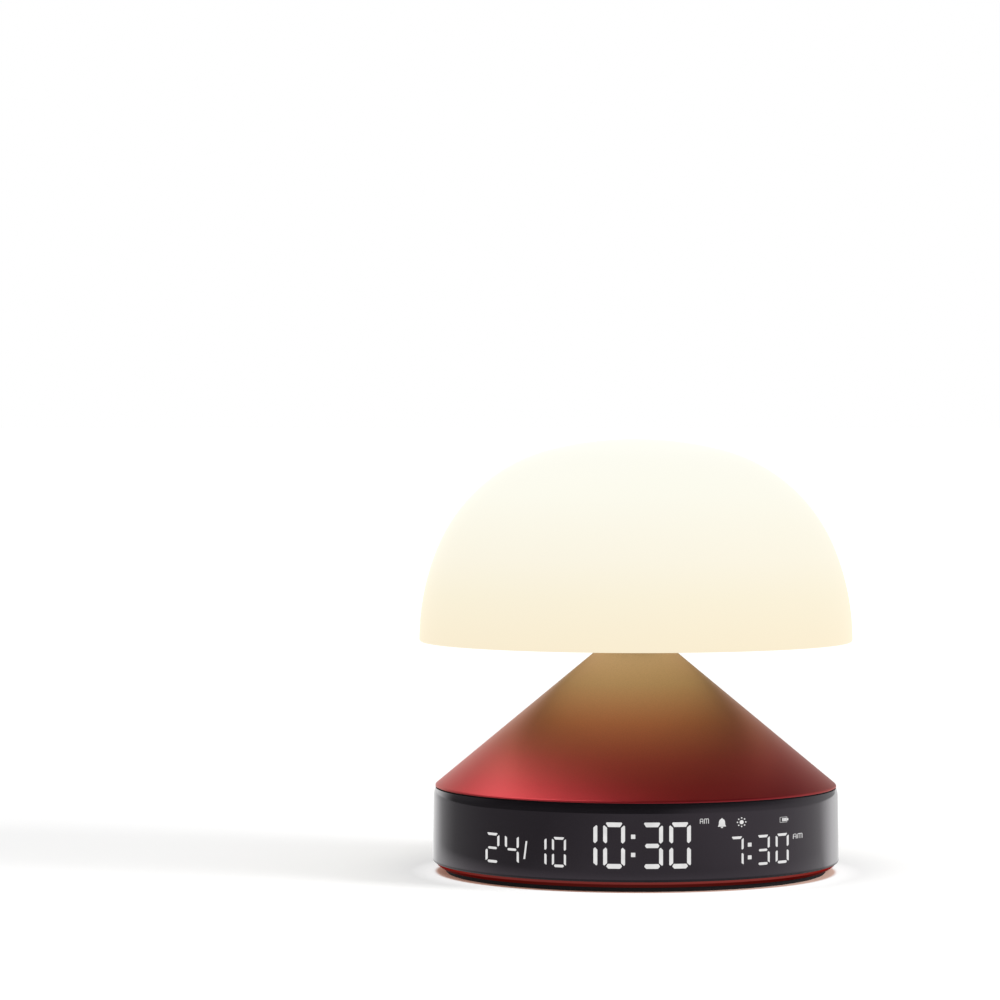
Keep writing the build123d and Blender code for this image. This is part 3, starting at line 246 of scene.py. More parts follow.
# %% Near and far on the mirrored table
FRONT_SECTOR = (0.77, 0.93)  # radians off straight ahead over which the sector that ends fades out
TABLE_END = (0.75, 1.15)
BEYOND = 0.3  # what is left of the light past that end
SHADOW = (54 * MM, 75 * MM)
IN_SHADOW = 0.2
FULL_LIGHT = 1.1  # at least this much, out of the shadow
BEARINGS_START = (90 * MM, 130 * MM)
off_front = add(tree, MATH, {"operation": "ABSOLUTE"}, {0: bearing})
in_front = add(tree, MAP, {"reads": FRONT_SECTOR, "gives": (1.0, 0.0)}, {0: off_front})
table_end = add(tree, MAP, SMOOTH | {"reads": TABLE_END, "gives": (1.0, BEYOND)}, {0: far})
ending = add(tree, MIX, {2: 1.0}, {0: in_front, 3: table_end})
ended = add(tree, MATH, {"operation": "MULTIPLY"}, {0: table, 1: ending})
close_by = add(tree, MATH, {"operation": "MAXIMUM", 1: FULL_LIGHT}, {0: table})
shadowed = add(tree, MAP, {"reads": SHADOW, 3: IN_SHADOW}, {0: far, 4: close_by})
away = add(tree, MAP, {"reads": BEARINGS_START}, {0: far})
strength = add(tree, MIX, links={0: away, 2: shadowed, 3: ended})
reflected = add(tree, "ShaderNodeEmission", {"Color": (1, 1, 1, 1)}, {"Strength": strength})
mirrored = add(tree, MATH, {"operation": "MAXIMUM"}, {0: glossy, 1: clear})
surface = add(tree, "ShaderNodeMixShader", links={0: mirrored, 1: both, 2: reflected})
add(tree, "ShaderNodeOutputMaterial", links={"Surface": surface})
floor.data.materials.append(paper)
print(paper.name, "on", floor.name)

# %% [markdown]
# The world is the studio. It lights matt surfaces evenly from all round. The camera sees it white.
# Reflections see what stands in such a room: a pale wall behind the object, brightest on the left, a low
# card on the right, a round softbox high on the left, and darkness in front and overhead. Those
# differences are what draws the form of polished and satin surfaces. A direction's parts east, north and
# up, between -1 and 1, say where in the room it points.

# %% Studio
AMBIENT = 0.62
CARD = (0.17, 0.7)  # light of the low wall on the left and in front, and of the card on the right
BACK_WALL = (1.6, 0.62)  # light of the wall behind, at its left and at its right
WALL_TOP = (0.36, 0.08)  # light of that wall higher up, from low to high
OVERHEAD = 0.06
SOFTBOX_BEARING = (-0.52, 0.12, 0.84)
SOFTBOX_EDGE = (0.80, 0.945)  # cosines of the angle from its middle, over which it brightens
SOFTBOX_LIGHT = 2.5
world = bpy.data.worlds.new("studio")
bpy.context.scene.world = world
world.use_nodes = True
tree = world.node_tree
tree.nodes.clear()
path = add(tree, "ShaderNodeLightPath")
seen, glossy, clear = (path.outputs[f"Is {kind} Ray"] for kind in ("Camera", "Glossy", "Transmission"))
aim = add(tree, "ShaderNodeTexCoord").outputs["Generated"]
direction = add(tree, SPLIT, links={0: aim})
east, north, up = (direction.outputs[axis] for axis in "XYZ")
walls = add(tree, MAP, SMOOTH | {"reads": (0.1, 0.7), "gives": CARD}, {0: east})
back_wall = add(tree, MAP, {"reads": (-0.5, 0.5), "gives": BACK_WALL}, {0: east})
behind = add(tree, MAP, SMOOTH | {"reads": (0.6, 0.95)}, {0: north})
low = add(tree, MIX, links={0: behind, 2: walls, 3: back_wall})
toward = add(tree, VECTOR, {"operation": "DOT_PRODUCT", 1: SOFTBOX_BEARING}, {0: aim})
softbox = add(tree, MAP, SMOOTH | {"reads": SOFTBOX_EDGE, "gives": (0.0, SOFTBOX_LIGHT)}, {0: toward})
wall_top = add(tree, MAP, SMOOTH | {"reads": (0.35, 0.8), "gives": WALL_TOP}, {0: up})
backwards = add(tree, MAP, SMOOTH | {"reads": (-0.1, 0.4)}, {0: north})
upper = add(tree, MIX, {2: OVERHEAD}, {0: backwards, 3: wall_top})
high = add(tree, MATH, {"operation": "ADD"}, {0: upper, 1: softbox})
height = add(tree, MAP, SMOOTH | {"reads": (0.02, 0.6)}, {0: up})
room = add(tree, MIX, links={0: height, 2: low, 3: high})
view = add(tree, MIX, {3: 1.0}, {0: seen, 2: room})
mirrored = add(tree, MATH, {"operation": "MAXIMUM"}, {0: glossy, 1: clear})
looked_at = add(tree, MATH, {"operation": "MAXIMUM"}, {0: seen, 1: mirrored})
level = add(tree, MIX, {2: AMBIENT}, {0: looked_at, 3: view})
sky = add(tree, "ShaderNodeBackground", {"Color": (1, 1, 1, 1)}, {"Strength": level})
add(tree, "ShaderNodeOutputWorld", links={"Surface": sky})
print("ambient light", AMBIENT, "softbox towards", SOFTBOX_BEARING)

# %% [markdown]
# Two square lamps give the matt surfaces their shading and the object its shadow. Reflections leave them
# out, because the room above already has what they should see.

# %% Lamps
LAMPS = (  # name, place, size, watts
    ("key_softbox", (1.05, -0.42, 0.52), 0.4, 9.5),
    ("top_softbox", (-0.25, -0.45, 1.25), 0.9, 4.5),
)
for name, lamp_place, size, watts in LAMPS:
    lamp_data = bpy.data.lights.new(name, "AREA")
    lamp_data.size = size
    lamp_data.energy = watts
    lamp = bpy.data.objects.new(name, lamp_data)
    lamp.location = lamp_place
    lamp.rotation_euler = (-lamp.location).to_track_quat("-Z", "Y").to_euler()
    lamp.visible_glossy = False
    bpy.context.scene.collection.objects.link(lamp)
    print(name, "at", lamp_place, "watts", watts)

# %% [markdown]
# The dome is injection-moulded opal polycarbonate with a lamp inside. Opal plastic spreads the light, so
# the whole wall glows: whitest over the crown, which the lamp faces, and creamier down the side, where the
# light arrives after several bounces. The lamp's own place drives the change: the cosine of the angle
# from straight up, seen from the lamp board, runs from 1 at the crown to below 0 at the rim.

# %% Opal dome
LAMP_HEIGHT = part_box("led_board")[1].z
RIM_COSINE = -0.40
GLOW = (
    (0.05, linear("#f7ebd0")),
    (0.19, linear("#f7efd8")),
    (0.32, linear("#f8f3e2")),
    (0.57, linear("#f9f8ec")),
    (0.86, linear("#fafaf1")),
)
opal, tree, shader, place = new_material("moulded_opal_polycarbonate")
ray = add(tree, VECTOR, {"operation": "SUBTRACT", 1: (0, 0, LAMP_HEIGHT)}, {0: place})
aim = add(tree, VECTOR, {"operation": "NORMALIZE"}, {0: ray})
cosine = add(tree, SPLIT, links={0: aim}).outputs["Z"]
share = add(tree, MAP, {"reads": (RIM_COSINE, 1.0)}, {0: cosine})
glow = add(tree, RAMP, {"stops": GLOW}, {0: share})
cloud = add(tree, NOISE, {"Scale": 1 / (16 * MM), "Detail": 2.0}, {"Vector": place})
tint = add(tree, MIX, {"colours": (linear("#29241a"), linear("#2f291e"))}, {0: cloud})
fill(
    shader,
    {"Emission Strength": 1.0, "Roughness": 0.5, "Specular IOR Level": 0.03, "IOR": 1.585},
    {"Base Color": tint, "Emission Color": glow},
)
wear(opal, ["shade"])

# %% [markdown]
# The plate under the dome is the same kind of white plastic. Light leaks through it round the neck and
# fades towards the rim, a little stronger on the left. Nobody sees it from the front, but the cone below
# mirrors it.

# %% Glowing underside
LEAN = 3.5 * MM  # how far left of the axis the leak is centred
LEAK = (
    (0.0, linear("#f6efd2")),
    (0.4, linear("#ccc69c")),
    (0.62, linear("#8c8a62")),
    (0.8, linear("#433f2e")),
    (1.0, linear("#140f0c")),
)
plate, tree, shader, place = new_material("moulded_white_polycarbonate")
flat = add(tree, VECTOR, {"operation": "MULTIPLY_ADD", 1: (1, 1, 0), 2: (LEAN, 0, 0)}, {0: place})
reach = add(tree, VECTOR, {"operation": "LENGTH"}, {0: flat})
outward = add(tree, MAP, {"reads": (10 * MM, 60 * MM)}, {0: reach})
leak = add(tree, RAMP, {"stops": LEAK}, {0: outward})
fill(
    shader,
    {"Base Color": linear("#5d5a55"), "Emission Strength": 0.85, "Roughness": 0.5},
    {"Emission Color": leak},
)
wear(plate, ["shade_underside"])

# %% [markdown]
# The cone is spun aluminium, blasted with fine glass beads, dyed and sealed by anodising. Blasting breaks
# every reflection into a soft sheen with a faint sparkle of grain, and takes the dye a shade deeper here
# and paler there. The dye is deep red and tints the sheen. Its colour warms to a golden bronze towards the
# neck: that is painted reflection of the warm light under the dome, laid over the red dye. The sealed oxide
# over the dye is clear, so a thin coat adds a white gleam to the brightest places.

# %% Anodised aluminium
GRAIN = 0.35 * MM  # a bead mark is 0.1 mm; drawn this coarse to show
DENT = 0.02 * MM
# red dye at the foot; the golden bronze towards the neck is painted reflection of the warm light under the
# dome
DYE_AND_PAINTED_GLOW = (
    (0.0, linear("#be1424")),
    (0.1, linear("#c0282d")),
    (0.25, linear("#c84a40")),
    (0.50, linear("#ca7b54")),
    (0.75, linear("#c8a277")),
    (1.0, linear("#d0b18a")),
)
anodised, tree, shader, place = new_material("bead_blasted_anodised_aluminium")
level = add(tree, SPLIT, links={0: place}).outputs["Z"]
foot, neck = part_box("cone_shell")
rise = add(tree, MAP, {"reads": (foot.z, neck.z)}, {0: level})
# the ramp by height paints the dome's reflected glow onto the upper cone, over the red dye
dye_and_painted_light = add(tree, RAMP, {"stops": DYE_AND_PAINTED_GLOW}, {0: rise})
beads = add(tree, NOISE, {"Scale": 1 / GRAIN, "Detail": 2.0}, {"Vector": place})
rough = add(tree, MAP, {"gives": (0.42, 0.52)}, {0: beads})
dents = add(tree, BUMP, {"Strength": 0.5, "Distance": DENT}, {"Height": beads})
deeper = add(tree, MAP, {"reads": (0.3, 0.7), "gives": (0.94, 1.06)}, {0: beads})
mottled = add(tree, VECTOR, {"operation": "SCALE"}, {0: dye_and_painted_light, "Scale": deeper})
fill(
    shader,
    {
        "Metallic": 1.0,
        "Specular Tint": linear("#e4bfaa"),
        "Coat Weight": 0.72,
        "Coat Roughness": 0.42,
        "Coat IOR": 1.6,
    },
    {"Base Color": mottled, "Roughness": rough, "Normal": dents},
)
wear(anodised, ["cone_shell"])

# %% [markdown]
# The trim ring under the band is the same blasted aluminium and red dye, plain all round. Its red is drawn
# deeper and duller than the cone's foot as painted shade, for the shadow it sits in under the band. A
# metal's edge-on sheen is white unless its specular tint colours it, so that has the dye's colour too.

# %% Trim ring
deep_red, tree, shader, place = new_material("deep_red_anodised_aluminium")
beads = add(tree, NOISE, {"Scale": 1 / GRAIN, "Detail": 2.0}, {"Vector": place})
# the red dye, drawn deeper and duller than the cone's as painted shade for the shadow under the band
dye_and_painted_light = add(tree, MIX, {"colours": (linear("#933b37"), linear("#9e423d"))}, {0: beads})
rough = add(tree, MAP, {"gives": (0.34, 0.46)}, {0: beads})
dents = add(tree, BUMP, {"Strength": 0.12, "Distance": DENT}, {"Height": beads})
fill(
    shader,
    {"Metallic": 1.0, "Specular Tint": linear("#d88a84")},
    {"Base Color": dye_and_painted_light, "Roughness": rough, "Normal": dents},
)
wear(deep_red, ["base_trim_ring"])

# %% [markdown]
# The display band is moulded acrylic, black enough to hide the electronics and polished like piano
# lacquer. Its colour is nearly nothing: what the eye sees is the room mirrored in it.

# %% Black acrylic
acrylic, tree, shader, place = new_material("polished_black_acrylic")
haze = add(tree, NOISE, {"Scale": 1 / (11 * MM), "Detail": 3.0}, {"Vector": place})
body = add(tree, MIX, {"colours": (linear("#0b0a0c"), linear("#100e11"))}, {0: haze})
polish = add(tree, MAP, {"gives": (0.03, 0.07)}, {0: haze})
fill(
    shader,
    {"IOR": 1.49, "Specular Tint": linear("#ffecff")},
    {"Base Color": body, "Roughness": polish},
)
wear(acrylic, ["display_band"])

# %% [markdown]
# The rest is plastic, rubber, metal and circuit board, mostly inside. Each has a plain body colour, so one
# table holds what differs: the two colours that the grain wanders between, its size, how rough it makes
# the surface and how deep it is. Under it is who wears which.

# %% Table of plain finishes
FINISHES = {  # dark, light, grain mm, roughness low and high, bump mm, metallic
    "moulded_black_rubber": ("#18171a", "#201f22", 0.5, 0.72, 0.88, 0.03, 0.0),
    "spark_textured_black_abs": ("#161518", "#1f1e21", 0.4, 0.42, 0.58, 0.02, 0.0),
    "soft_touch_black_plastic": ("#1d1c1f", "#262528", 0.3, 0.55, 0.7, 0.01, 0.0),
    "moulded_white_nylon": ("#d6d4cd", "#dddbd4", 0.8, 0.45, 0.55, 0.01, 0.0),
    "turned_aluminium": ("#b9babd", "#c9cacc", 0.3, 0.25, 0.38, 0.006, 1.0),
    "zinc_plated_steel": ("#a9abad", "#bcbec0", 0.4, 0.25, 0.4, 0.006, 1.0),
    "drawn_spring_steel": ("#8f9194", "#a3a5a8", 0.2, 0.2, 0.32, 0.004, 1.0),
    "nickel_plated_steel": ("#b4b2ad", "#c6c4bf", 0.3, 0.18, 0.3, 0.004, 1.0),
    "white_solder_mask": ("#dfe0de", "#e8e9e7", 1.2, 0.3, 0.42, 0.008, 0.0),
    "green_solder_mask": ("#1d4a2c", "#245737", 1.2, 0.3, 0.42, 0.008, 0.0),
    "epoxy_components": ("#1b1b1d", "#2a2a2c", 0.5, 0.4, 0.6, 0.01, 0.0),
    "ferrite_magnet": ("#3a3a3c", "#47474a", 0.6, 0.5, 0.7, 0.02, 0.0),
    "pressed_black_paper": ("#161616", "#222222", 0.5, 0.7, 0.9, 0.04, 0.0),
    "shrink_wrap_film": ("#2f6fa8", "#3a7cb6", 2.0, 0.25, 0.4, 0.01, 0.0),
    "wire_insulation": ("#b9b7b2", "#c8c6c1", 0.8, 0.4, 0.5, 0.01, 0.0),
    "diffusing_film": ("#d9d9d6", "#e4e4e1", 0.4, 0.5, 0.6, 0.005, 0.0),
    "phosphor_lamp_die": ("#e8c85a", "#f0d774", 0.4, 0.4, 0.5, 0.005, 0.0),
}
WEARERS = {
    "moulded_black_rubber": "foot_ring cone_gasket speaker_gasket",
    "spark_textured_black_abs": (
        "base_chassis bottom_cover cone_liner display_reflector battery_holder usb_tongue"
        " head_switch button_switches"
    ),
    "soft_touch_black_plastic": "alarm_button down_button set_button up_button sound_button",
    "moulded_white_nylon": "head_hub neck_washer head_switch_plunger lamp_socket",
    "turned_aluminium": "neck_post led_carrier",
    "zinc_plated_steel": (
        "neck_screws cone_screws carrier_screws board_screws battery_screws speaker_screws"
        " button_board_screws speaker_basket"
    ),
    "drawn_spring_steel": "head_return_spring neck_retaining_ring",
    "nickel_plated_steel": "usb_socket",
    "white_solder_mask": "led_board display_board",
    "green_solder_mask": "main_board neck_board usb_board button_board",
    "epoxy_components": "board_components",
    "ferrite_magnet": "speaker_magnet",
    "pressed_black_paper": "speaker_cone",
    "shrink_wrap_film": "battery_cell",
    "wire_insulation": "head_leads lamp_cable",
    "diffusing_film": "display_diffuser",
    "phosphor_lamp_die": "led_emitters display_leds",
}
finishes = {}
for name, (dark, light, grain, low, high, depth, metallic) in FINISHES.items():
    finishes[name], tree, shader, place = new_material(name)
    noise = add(tree, NOISE, {"Scale": 1 / (grain * MM), "Detail": 3.0}, {"Vector": place})
    colour = add(tree, MIX, {"colours": (linear(dark), linear(light))}, {0: noise})
    rough = add(tree, MAP, {"gives": (low, high)}, {0: noise})
    bump = add(tree, BUMP, {"Strength": 0.4, "Distance": depth * MM}, {"Height": noise})
    fill(shader, {"Metallic": metallic}, {"Base Color": colour, "Roughness": rough, "Normal": bump})
    wear(finishes[name], WEARERS[name].split())

# %% [markdown]
# The display's figures are cells of light behind the acrylic. They are drawn flat in front of the band
# first. Sizes and places in a drawing are in millimetres, and pieces are copied, turned and resized with
# the few steps below.

# %% Helpers for drawings
FRONT = -75.0 * MM  # flat drawings stand here before they are laid on the band
TINY = 0.001 * MM  # corners nearer to each other than this are one


def pick(*pieces):
    """Select only these pieces, the first of them active."""
    bpy.ops.object.select_all(action="DESELECT")
    for piece in pieces:
        piece.select_set(True)
    bpy.context.view_layer.objects.active = pieces[0]


def settle(piece):
    """Write a piece's place, turn and size into its mesh."""
    pick(piece)
    bpy.ops.object.transform_apply(location=True, rotation=True, scale=True)
    return piece


def copy_of(master, x=0.0, z=0.0, across=1.0, up=1.0):
    """A copy of a piece with its own mesh, resized about the origin and then set down at x and z."""
    piece = master.copy()
    piece.data = master.data.copy()
    bpy.context.scene.collection.objects.link(piece)
    piece.scale = (across, 1.0, up)
    piece.location = (x * MM, 0.0, z * MM)
    return settle(piece)


def join(pieces, name):
    """Join pieces into one object."""
    pick(*pieces)
    bpy.ops.object.join()
    bpy.context.object.name = name
    return bpy.context.object


def remove(pieces):
    """Delete pieces that were only patterns."""
    pick(*pieces)
    bpy.ops.object.delete()


def face_outwards(piece):
    """Turn the faces of a closed piece outwards."""
    pick(piece)
    bpy.ops.object.mode_set(mode="EDIT")
    bpy.ops.mesh.select_all(action="SELECT")
    bpy.ops.mesh.normals_make_consistent(inside=False)
    bpy.ops.object.mode_set(mode="OBJECT")


# %% [markdown]
# A cell is a flat shape with straight sides, so it is a plane of the shape's outer size, trimmed along
# each slanted side with the bisect tool, with its corners rounded by a small vertex bevel. Its corners go
# round anticlockwise from the front.

# %% Trimming a cell of light


def cell(corners, soften=0.0):
    """A flat cell with these corners, drawn in front of the display."""
    xs = [x * MM for x, _ in corners]
    zs = [z * MM for _, z in corners]
    middle = ((min(xs) + max(xs)) / 2, FRONT, (min(zs) + max(zs)) / 2)
    bpy.ops.mesh.primitive_plane_add(size=1.0, location=middle, rotation=(pi / 2, 0, 0))
    piece = bpy.context.object
    piece.scale = (max(xs) - min(xs), max(zs) - min(zs), 1.0)
    settle(piece)
    bpy.ops.object.mode_set(mode="EDIT")
    for i in range(len(corners)):
        x, z = xs[i - 1], zs[i - 1]
        side = hypot(xs[i] - x, zs[i] - z)
        outwards = ((zs[i] - z) / side, 0, (x - xs[i]) / side)
        bpy.ops.mesh.select_all(action="SELECT")
        bpy.ops.mesh.bisect(plane_co=(x, FRONT, z), plane_no=outwards, clear_outer=True, threshold=TINY)
    if soften:
        bpy.ops.mesh.select_all(action="SELECT")
        bpy.ops.mesh.bevel(offset=soften * MM, affect="VERTICES", segments=2)
    bpy.ops.object.mode_set(mode="OBJECT")
    return piece


def oblong(x, z, width, height, soften=0.0):
    """A flat oblong cell whose middle is at x and z."""
    left, right, low, high = x - width / 2, x + width / 2, z - height / 2, z + height / 2
    return cell(((left, low), (right, low), (right, high), (left, high)), soften)


def inset(piece, rim, keep):
    """Mark a rim all round inside a flat piece's edge, and keep that rim or the middle."""
    bpy.ops.object.mode_set(mode="EDIT")
    bpy.ops.mesh.select_mode(type="FACE")
    bpy.ops.mesh.select_all(action="SELECT")
    bpy.ops.mesh.inset(thickness=rim * MM)
    if keep == "middle":
        bpy.ops.mesh.select_all(action="INVERT")
    bpy.ops.mesh.delete(type="FACE")
    bpy.ops.object.mode_set(mode="OBJECT")
    return piece


# %% [markdown]
# A seven-bar figure needs four shapes: a top, a middle and a bottom bar, and an upright. They are drawn
# once, in a figure 12.55 mm tall round the origin, and copied: turned over for the left and below, left
# out where a bar is dark, and shrunk for the small rows, whose bars are slimmer too. Insetting a bar and
# deleting its rim slims it evenly all round.

# %% The bars
SMALL = 0.665  # size of the small rows' figures
SLIM = {1.0: 0.03, SMALL: 0.13}  # how much is taken off all round
ROUNDING = 0.1
TOP_BAR = ((-1.62, 4.97), (1.62, 4.97), (2.24, 5.95), (2.02, 6.28), (-2.02, 6.28), (-2.24, 5.95))
MIDDLE_BAR = ((-1.98, -0.05), (-1.55, -0.66), (1.6, -0.66), (2.0, -0.05), (1.6, 0.56), (-1.55, 0.56))
BOTTOM_BAR = ((-1.6, -6.28), (1.6, -6.28), (2.18, -5.66), (1.78, -4.94), (-1.78, -4.94), (-2.18, -5.66))
UPRIGHT = ((1.86, 0.93), (2.32, 0.51), (2.98, 1.17), (2.98, 5.19), (2.68, 5.5), (1.86, 4.79))
BAR_SHAPES = (TOP_BAR, MIDDLE_BAR, BOTTOM_BAR, UPRIGHT)
LIT = {"0": "abcdef", "1": "bc", "2": "abged", "3": "abgcd", "4": "fgbc", "7": "abc"}

bars = {}
for size, rim in SLIM.items():
    top, middle, bottom, upright = (inset(cell(shape, ROUNDING), rim, "middle") for shape in BAR_SHAPES)
    bars[size] = {  # letter: master, across and up
        "a": (top, 1, 1),
        "b": (upright, 1, 1),
        "c": (upright, 1, -1),
        "d": (bottom, 1, 1),
        "e": (upright, -1, -1),
        "f": (upright, -1, 1),
        "g": (middle, 1, 1),
    }


def figure(character, x, z, size=1.0):
    """The lit bars of one figure whose middle is at x and z."""
    lit_bars = [bars[size][letter] for letter in LIT[character]]
    return [copy_of(master, x, z, across * size, up * size) for master, across, up in lit_bars]


print("bar sizes", list(bars), "each of", len(bars[SMALL]), "bars")

# %% [markdown]
# The drawings are joined, cut into narrow strips so they can bend, and projected straight back onto the
# band's curve with a Shrinkwrap modifier, so from the front they read undistorted, as the real ones do. A
# Solidify modifier gives them the thickness of a film.

# %% Laying a drawing on the band
STRIP = 0.7 * MM  # a strip's width
FILM = 0.03 * MM  # a film's thickness
OFF_THE_BAND = 0.02 * MM


def film(drawing):
    """Give a flat drawing the thickness of a film, faces outwards."""
    skin = drawing.modifiers.new("skin", "SOLIDIFY")
    skin.thickness = FILM
    skin.offset = 0.0
    bpy.ops.object.modifier_apply(modifier="skin")
    face_outwards(drawing)


def project(pieces, name):
    """Join flat drawings, cut them into strips and lay them on the display band."""
    drawing = join(pieces, name)
    low = min(v.co.x for v in drawing.data.vertices)
    high = max(v.co.x for v in drawing.data.vertices)
    count = int((high - low) / STRIP) + 1
    bpy.ops.object.mode_set(mode="EDIT")
    for i in range(1, count):
        cut = (low + (high - low) * i / count, 0, 0)
        bpy.ops.mesh.select_all(action="SELECT")
        bpy.ops.mesh.bisect(plane_co=cut, plane_no=(1, 0, 0), threshold=TINY)
    bpy.ops.object.mode_set(mode="OBJECT")
    lay = drawing.modifiers.new("lay", "SHRINKWRAP")
    lay.wrap_method = "PROJECT"
    lay.use_project_y = True
    lay.use_positive_direction = True
    lay.use_negative_direction = False
    lay.target = nodes["display_band"]
    lay.offset = OFF_THE_BAND
    bpy.ops.object.modifier_apply(modifier="lay")
    film(drawing)
    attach(drawing, "base")
    span = [round(edge(v.co.y for v in drawing.data.vertices), 4) for edge in (min, max)]
    print(name, "faces", len(drawing.data.polygons), "y", span)
    return drawing


# %% [markdown]
# The time, the date and the alarm time are three rows of figures. The colons are square dots, and the
# stroke in the date is a leaning bar.

# %% Figures
TIME_ROW = 12.93  # height of the middle of the time
SMALL_ROW = 10.72  # and of the date and the alarm time
STROKE = ((-32.05, 8.33), (-31.6, 8.33), (-31.0, 13.27), (-31.45, 13.27))

time_parts = []
for character, x in zip("1030", (-15.07, -7.6, 2.66, 10.26)):
    time_parts += figure(character, x, TIME_ROW)
for z in (10.45, 15.36):
    time_parts.append(oblong(-2.46, z, 1.16, 1.16, 0.1))
time_figures = project(time_parts, "time_figures")

date_parts = []
for character, x in zip("2410", (-40.5, -35.2, -27.7, -22.45)):
    date_parts += figure(character, x, SMALL_ROW, SMALL)
date_parts.append(cell(STROKE, 0.08))
date_figures = project(date_parts, "date_figures")

alarm_parts = []
for character, x in zip("730", (25.9, 33.3, 38.8)):
    alarm_parts += figure(character, x, SMALL_ROW, SMALL)
for z in (8.95, 12.4):
    alarm_parts.append(oblong(29.5, z, 1.05, 1.08, 0.08))
remove({master for letters in bars.values() for master, _, _ in letters.values()})

# %% [markdown]
# The morning mark is two letters drawn with fine strokes, square at the top as on such displays. It is
# drawn once and stands beside both times, a little wider beside the alarm time.

# %% Morning marks
STROKES = (  # x, z, width and height, from the mark's lower left corner
    (0.10, 0.60, 0.15, 1.20),
    (0.84, 0.60, 0.15, 1.20),
    (0.47, 1.27, 0.62, 0.15),
    (0.47, 0.62, 0.60, 0.12),
    (1.27, 0.60, 0.15, 1.20),
    (1.83, 0.60, 0.12, 1.20),
    (2.39, 0.60, 0.15, 1.20),
    (1.83, 1.27, 1.12, 0.15),
)
mark = join([oblong(*stroke, 0.03) for stroke in STROKES], "morning_mark")
alarm_parts.append(copy_of(mark, 41.95, 12.95, across=1.14))
status_parts = [copy_of(mark, 15.65, 18.65)]
remove([mark])
alarm_figures = project(alarm_parts, "alarm_figures")

# %% [markdown]
# A bell is symmetrical, so its outline grows upwards from a strip: the top edge is extruded and then
# resized, row by row, as when drawing such a shape by hand. The same tool makes the loudspeaker sign
# further on.

# %% Growing an outline


def grown(rows):
    """A flat shape, symmetrical about x = 0, from rows of a height and half a width."""
    (low, first), (high, second) = rows[:2]
    piece = cell(((-first, low), (first, low), (second, high), (-second, high)))
    for (before, width), (after, next_width) in zip(rows[1:], rows[2:]):
        upper = [v.index for v in piece.data.vertices if v.co.z > before * MM - TINY]
        bpy.ops.object.mode_set(mode="EDIT")
        bpy.ops.mesh.select_mode(type="VERT")
        bpy.ops.mesh.select_all(action="DESELECT")
        bpy.ops.object.mode_set(mode="OBJECT")
        for corner in upper:
            piece.data.vertices[corner].select = True
        bpy.ops.object.mode_set(mode="EDIT")
        bpy.ops.mesh.extrude_region_move(TRANSFORM_OT_translate={"value": (0, 0, (after - before) * MM)})
        bpy.ops.transform.resize(value=(next_width / width, 1, 1), center_override=(0, FRONT, after * MM))
        bpy.ops.object.mode_set(mode="OBJECT")
    return piece


def disc(x, z, radius, corners=20):
    """A flat round cell."""
    bpy.ops.mesh.primitive_circle_add(
        vertices=corners,
        radius=radius * MM,
        fill_type="NGON",
        location=(x * MM, FRONT, z * MM),
        rotation=(pi / 2, 0, 0),
    )
    return settle(bpy.context.object)


def half_disc(z, radius):
    """The lower half of a round cell on x = 0."""
    piece = disc(0, z, radius)
    bpy.ops.object.mode_set(mode="EDIT")
    bpy.ops.mesh.select_all(action="SELECT")
    bpy.ops.mesh.bisect(plane_co=(0, FRONT, z * MM), plane_no=(0, 0, 1), clear_outer=True, threshold=TINY)
    bpy.ops.object.mode_set(mode="OBJECT")
    return piece


BELL = (  # height and half width, from the skirt up to the knob
    (-0.95, 1.08),
    (-0.80, 1.10),
    (-0.55, 0.92),
    (-0.15, 0.86),
    (0.45, 0.82),
    (0.75, 0.70),
    (0.98, 0.50),
    (1.12, 0.26),
    (1.20, 0.13),
    (1.36, 0.10),
)
CLAPPER = (-1.02, 0.34)  # height and radius
bell = join([grown(BELL), half_disc(*CLAPPER)], "bell")
print("bell rows", len(BELL), "faces", len(bell.data.polygons))

# %% [markdown]
# The sun is a disc with eight rays, one ray drawn and the rest copied round it. The battery is an outline,
# made by insetting an oblong and deleting its middle, with three bars inside and a cap at its end.

# %% Sun and battery
SUN_RADIUS = 0.56
RAYS = 8
RAY_RADIUS = 0.2
RAY_REACH = 1.15  # from the middle of the sun to the middle of a ray
ray = disc(0, RAY_REACH, RAY_RADIUS, corners=10)
rays = [ray]
for turn in range(1, RAYS):
    copy = copy_of(ray)
    copy.rotation_euler.y = turn * 2 * pi / RAYS
    rays.append(settle(copy))
sun = join([disc(0, 0, SUN_RADIUS)] + rays, "sun")

outline = inset(oblong(-0.12, 0, 2.1, 1.5, 0.12), 0.08, "rim")  # x, z, width, height and rounding
charge = [oblong(x, 0, 0.37, 0.9, 0.04) for x in (-0.32, 0.12, 0.56)]
cap = oblong(1.12, 0, 0.3, 0.62, 0.06)
battery = join([outline, cap] + charge, "battery")

status_parts += [copy_of(bell, 21.75, 18.64), copy_of(sun, 27.23, 18.65), copy_of(battery, 39.3, 18.5)]
remove([sun, battery])
status_symbols = project(status_parts, "status_symbols")

# %% [markdown]
# Light-emitting cells look soft and very slightly uneven, because the film in front of them spreads each
# lamp's light. A gentle noise over the whites does that.

# %% Lit cells
lit, tree, shader, place = new_material("lit_display_cells")
spread = add(tree, NOISE, {"Scale": 1 / (2 * MM), "Detail": 1.0}, {"Vector": place})
white = add(tree, MIX, {"colours": (linear("#d9d8d8"), linear("#f6f5f4"))}, {0: spread})
fill(
    shader,
    {"Base Color": linear("#202022"), "Emission Strength": 0.9, "Roughness": 0.3},
    {"Emission Color": white},
)
drawings = (time_figures, date_figures, alarm_figures, status_symbols)
for drawing in drawings:
    cover(drawing, lit)
print(lit.name, "on", ", ".join(drawing.name for drawing in drawings))

# %% [markdown]
# The five buttons at the back carry signs pad-printed in white: a bell for the alarm, minus, a ring with
# hands for setting the clock, plus, and a loudspeaker. A sign is drawn in front like the figures, then
# turned round, set on its button's flat end and made to ride with that button, so it moves when pressed.

